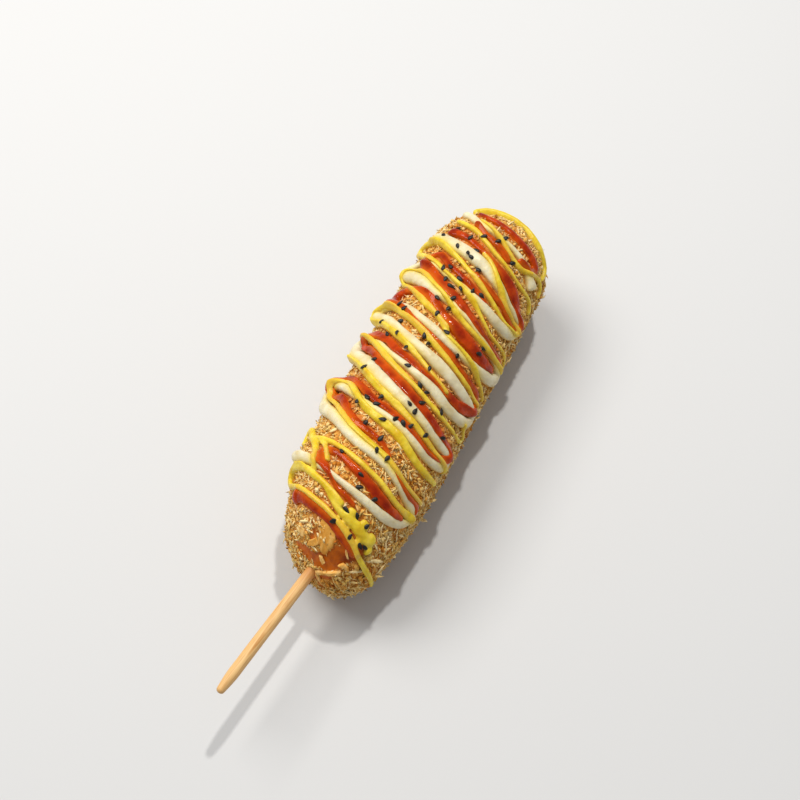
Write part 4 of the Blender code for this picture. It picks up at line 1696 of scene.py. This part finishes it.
@dataclass(frozen=True)
class Studio:
    """A pale floor, soft light from the upper left, and the camera."""

    target: tuple[float, float, float] = (19.5, 4.4, 24.0)
    distance: float = 445.0
    azimuth: float = -64.0
    elevation: float = 60.0
    lens: float = 54.0
    floor_colour: str = "#D2D1CF"

    def light(self, name: str, place: Array, size: tuple[float, float], power: float, colour: str) -> None:
        """An area light that looks at the object.

        Args:
            name: its name.
            place: where it hangs, in metres.
            size: its sides, in metres.
            power: its power, in watts.
            colour: its colour.
        """
        data = bpy.data.lights.new(name, "AREA")
        data.shape, data.size, data.size_y, data.energy = "RECTANGLE", size[0], size[1], power
        data.color = srgb(colour)[:3]
        lamp = bpy.data.objects.new(name, data)
        lamp.location = Vector(place)
        lamp.rotation_mode = "QUATERNION"
        lamp.rotation_quaternion = (Vector(self.target) * MM - lamp.location).to_track_quat("-Z", "Y")
        bpy.context.scene.collection.objects.link(lamp)

    def build(self) -> None:
        """Makes the floor, the lights and the camera."""
        scene = bpy.context.scene
        floor_mesh = bpy.data.meshes.new("floor")
        floor_mesh.from_pydata([(-2, -2, 0), (2, -2, 0), (2, 2, 0), (-2, 2, 0)], [], [(0, 1, 2, 3)])
        material, shader = new_finish("matt_floor", {"Roughness": 0.9, "Base Color": srgb(self.floor_colour)})
        floor_mesh.materials.append(material)
        floor = bpy.data.objects.new("floor", floor_mesh)
        scene.collection.objects.link(floor)
        world = bpy.data.worlds.new("room")
        world.use_nodes = True
        world.node_tree.nodes["Background"].inputs["Color"].default_value = srgb("#EDF0F5")
        world.node_tree.nodes["Background"].inputs["Strength"].default_value = 0.42
        scene.world = world
        self.light("window", np.array([0.14, 0.7, 1.02]), (0.8, 0.6), 11.0, "#FFFDFA")
        self.light("ceiling", np.array([0.5, 0.04, 1.05]), (0.05, 0.06), 6.0, "#FFFEFC")
        scene.view_settings.view_transform = "Standard"
        turn, rise = math.radians(self.azimuth), math.radians(self.elevation)
        back = Vector((math.sin(turn) * math.cos(rise), -math.cos(turn) * math.cos(rise), math.sin(rise)))
        data = bpy.data.cameras.new("camera")
        data.lens, data.clip_start, data.clip_end = self.lens, 0.01, 20.0
        camera = bpy.data.objects.new("camera", data)
        camera.location = (Vector(self.target) + back * self.distance) * MM
        camera.rotation_mode = "QUATERNION"
        camera.rotation_quaternion = (-back).to_track_quat("-Z", "Y")
        scene.collection.objects.link(camera)
        scene.camera = camera


def main() -> None:
    """Builds the corn dog from the crust outwards, then the stage."""
    logging.basicConfig(level=logging.INFO, format="%(name)s: %(message)s")
    form, bare = Form(), BarePatch()
    terrain = Terrain(form)
    sauces = (
        Sauce("mayonnaise", MAYONNAISE, MAYONNAISE_LINES, 4.3, 2.0, 0.9, 3, ((29.4, 26.4, 3.1, 3.2),)),
        Sauce("ketchup", KETCHUP, KETCHUP_LINES, 4.4, 1.35, 0.7, 40, ((12, 20.2, 3.1, 2.2),), 1.6),
        Sauce("mustard", MUSTARD, MUSTARD_LINES, 2.2, 1.25, 0.6, 80, PUDDLE_DROPS, voxel=0.36),
    )
    maps = [sauce.lay(terrain) for sauce in sauces]
    covered = np.max(maps, axis=0)
    for sauce, over in zip(sauces, (maps[2], maps[2], maps[1])):
        sauce.build(terrain, over)
    Crust(form, bare).build(FriedBatter(), terrain, maps[1])
    crumb = FriedCrumb().material()
    many = 1.0
    kinds = (
        (CrumbKind.GRAIN, 21000, (0.42, 0.3, 0.24), 0.5, 21, (0.4, 0.18)),
        (CrumbKind.CHUNK, 7500, (0.72, 0.46, 0.32), 0.4, 22, (0.46, 0.18)),
        (CrumbKind.SHARD, 8000, (1.5, 0.31, 0.2), 0.3, 23, (0.64, 0.18)),
        (CrumbKind.SPLINTER, 7500, (1.0, 0.24, 0.18), 0.55, 24, (0.52, 0.22)),
    )
    for kind, count, size, tilt, seed, tone in kinds:
        number = int(count * many)
        Crumbs(form, terrain, covered, maps[1], bare, kind, number, size, tilt, seed, tone).build(crumb)
    golden = FriedCrumb("#B4641A", "#D28A2E", "#DFA044", "#F0C67C").material()
    build_flakes(form, FLAKES, golden)
    SesameSeeds(form, terrain, SEED_PLACES).build(SesameCoat())
    Skewer(form).build(TurnedBamboo())
    Studio().build()


if __name__ == "__main__":
    main()
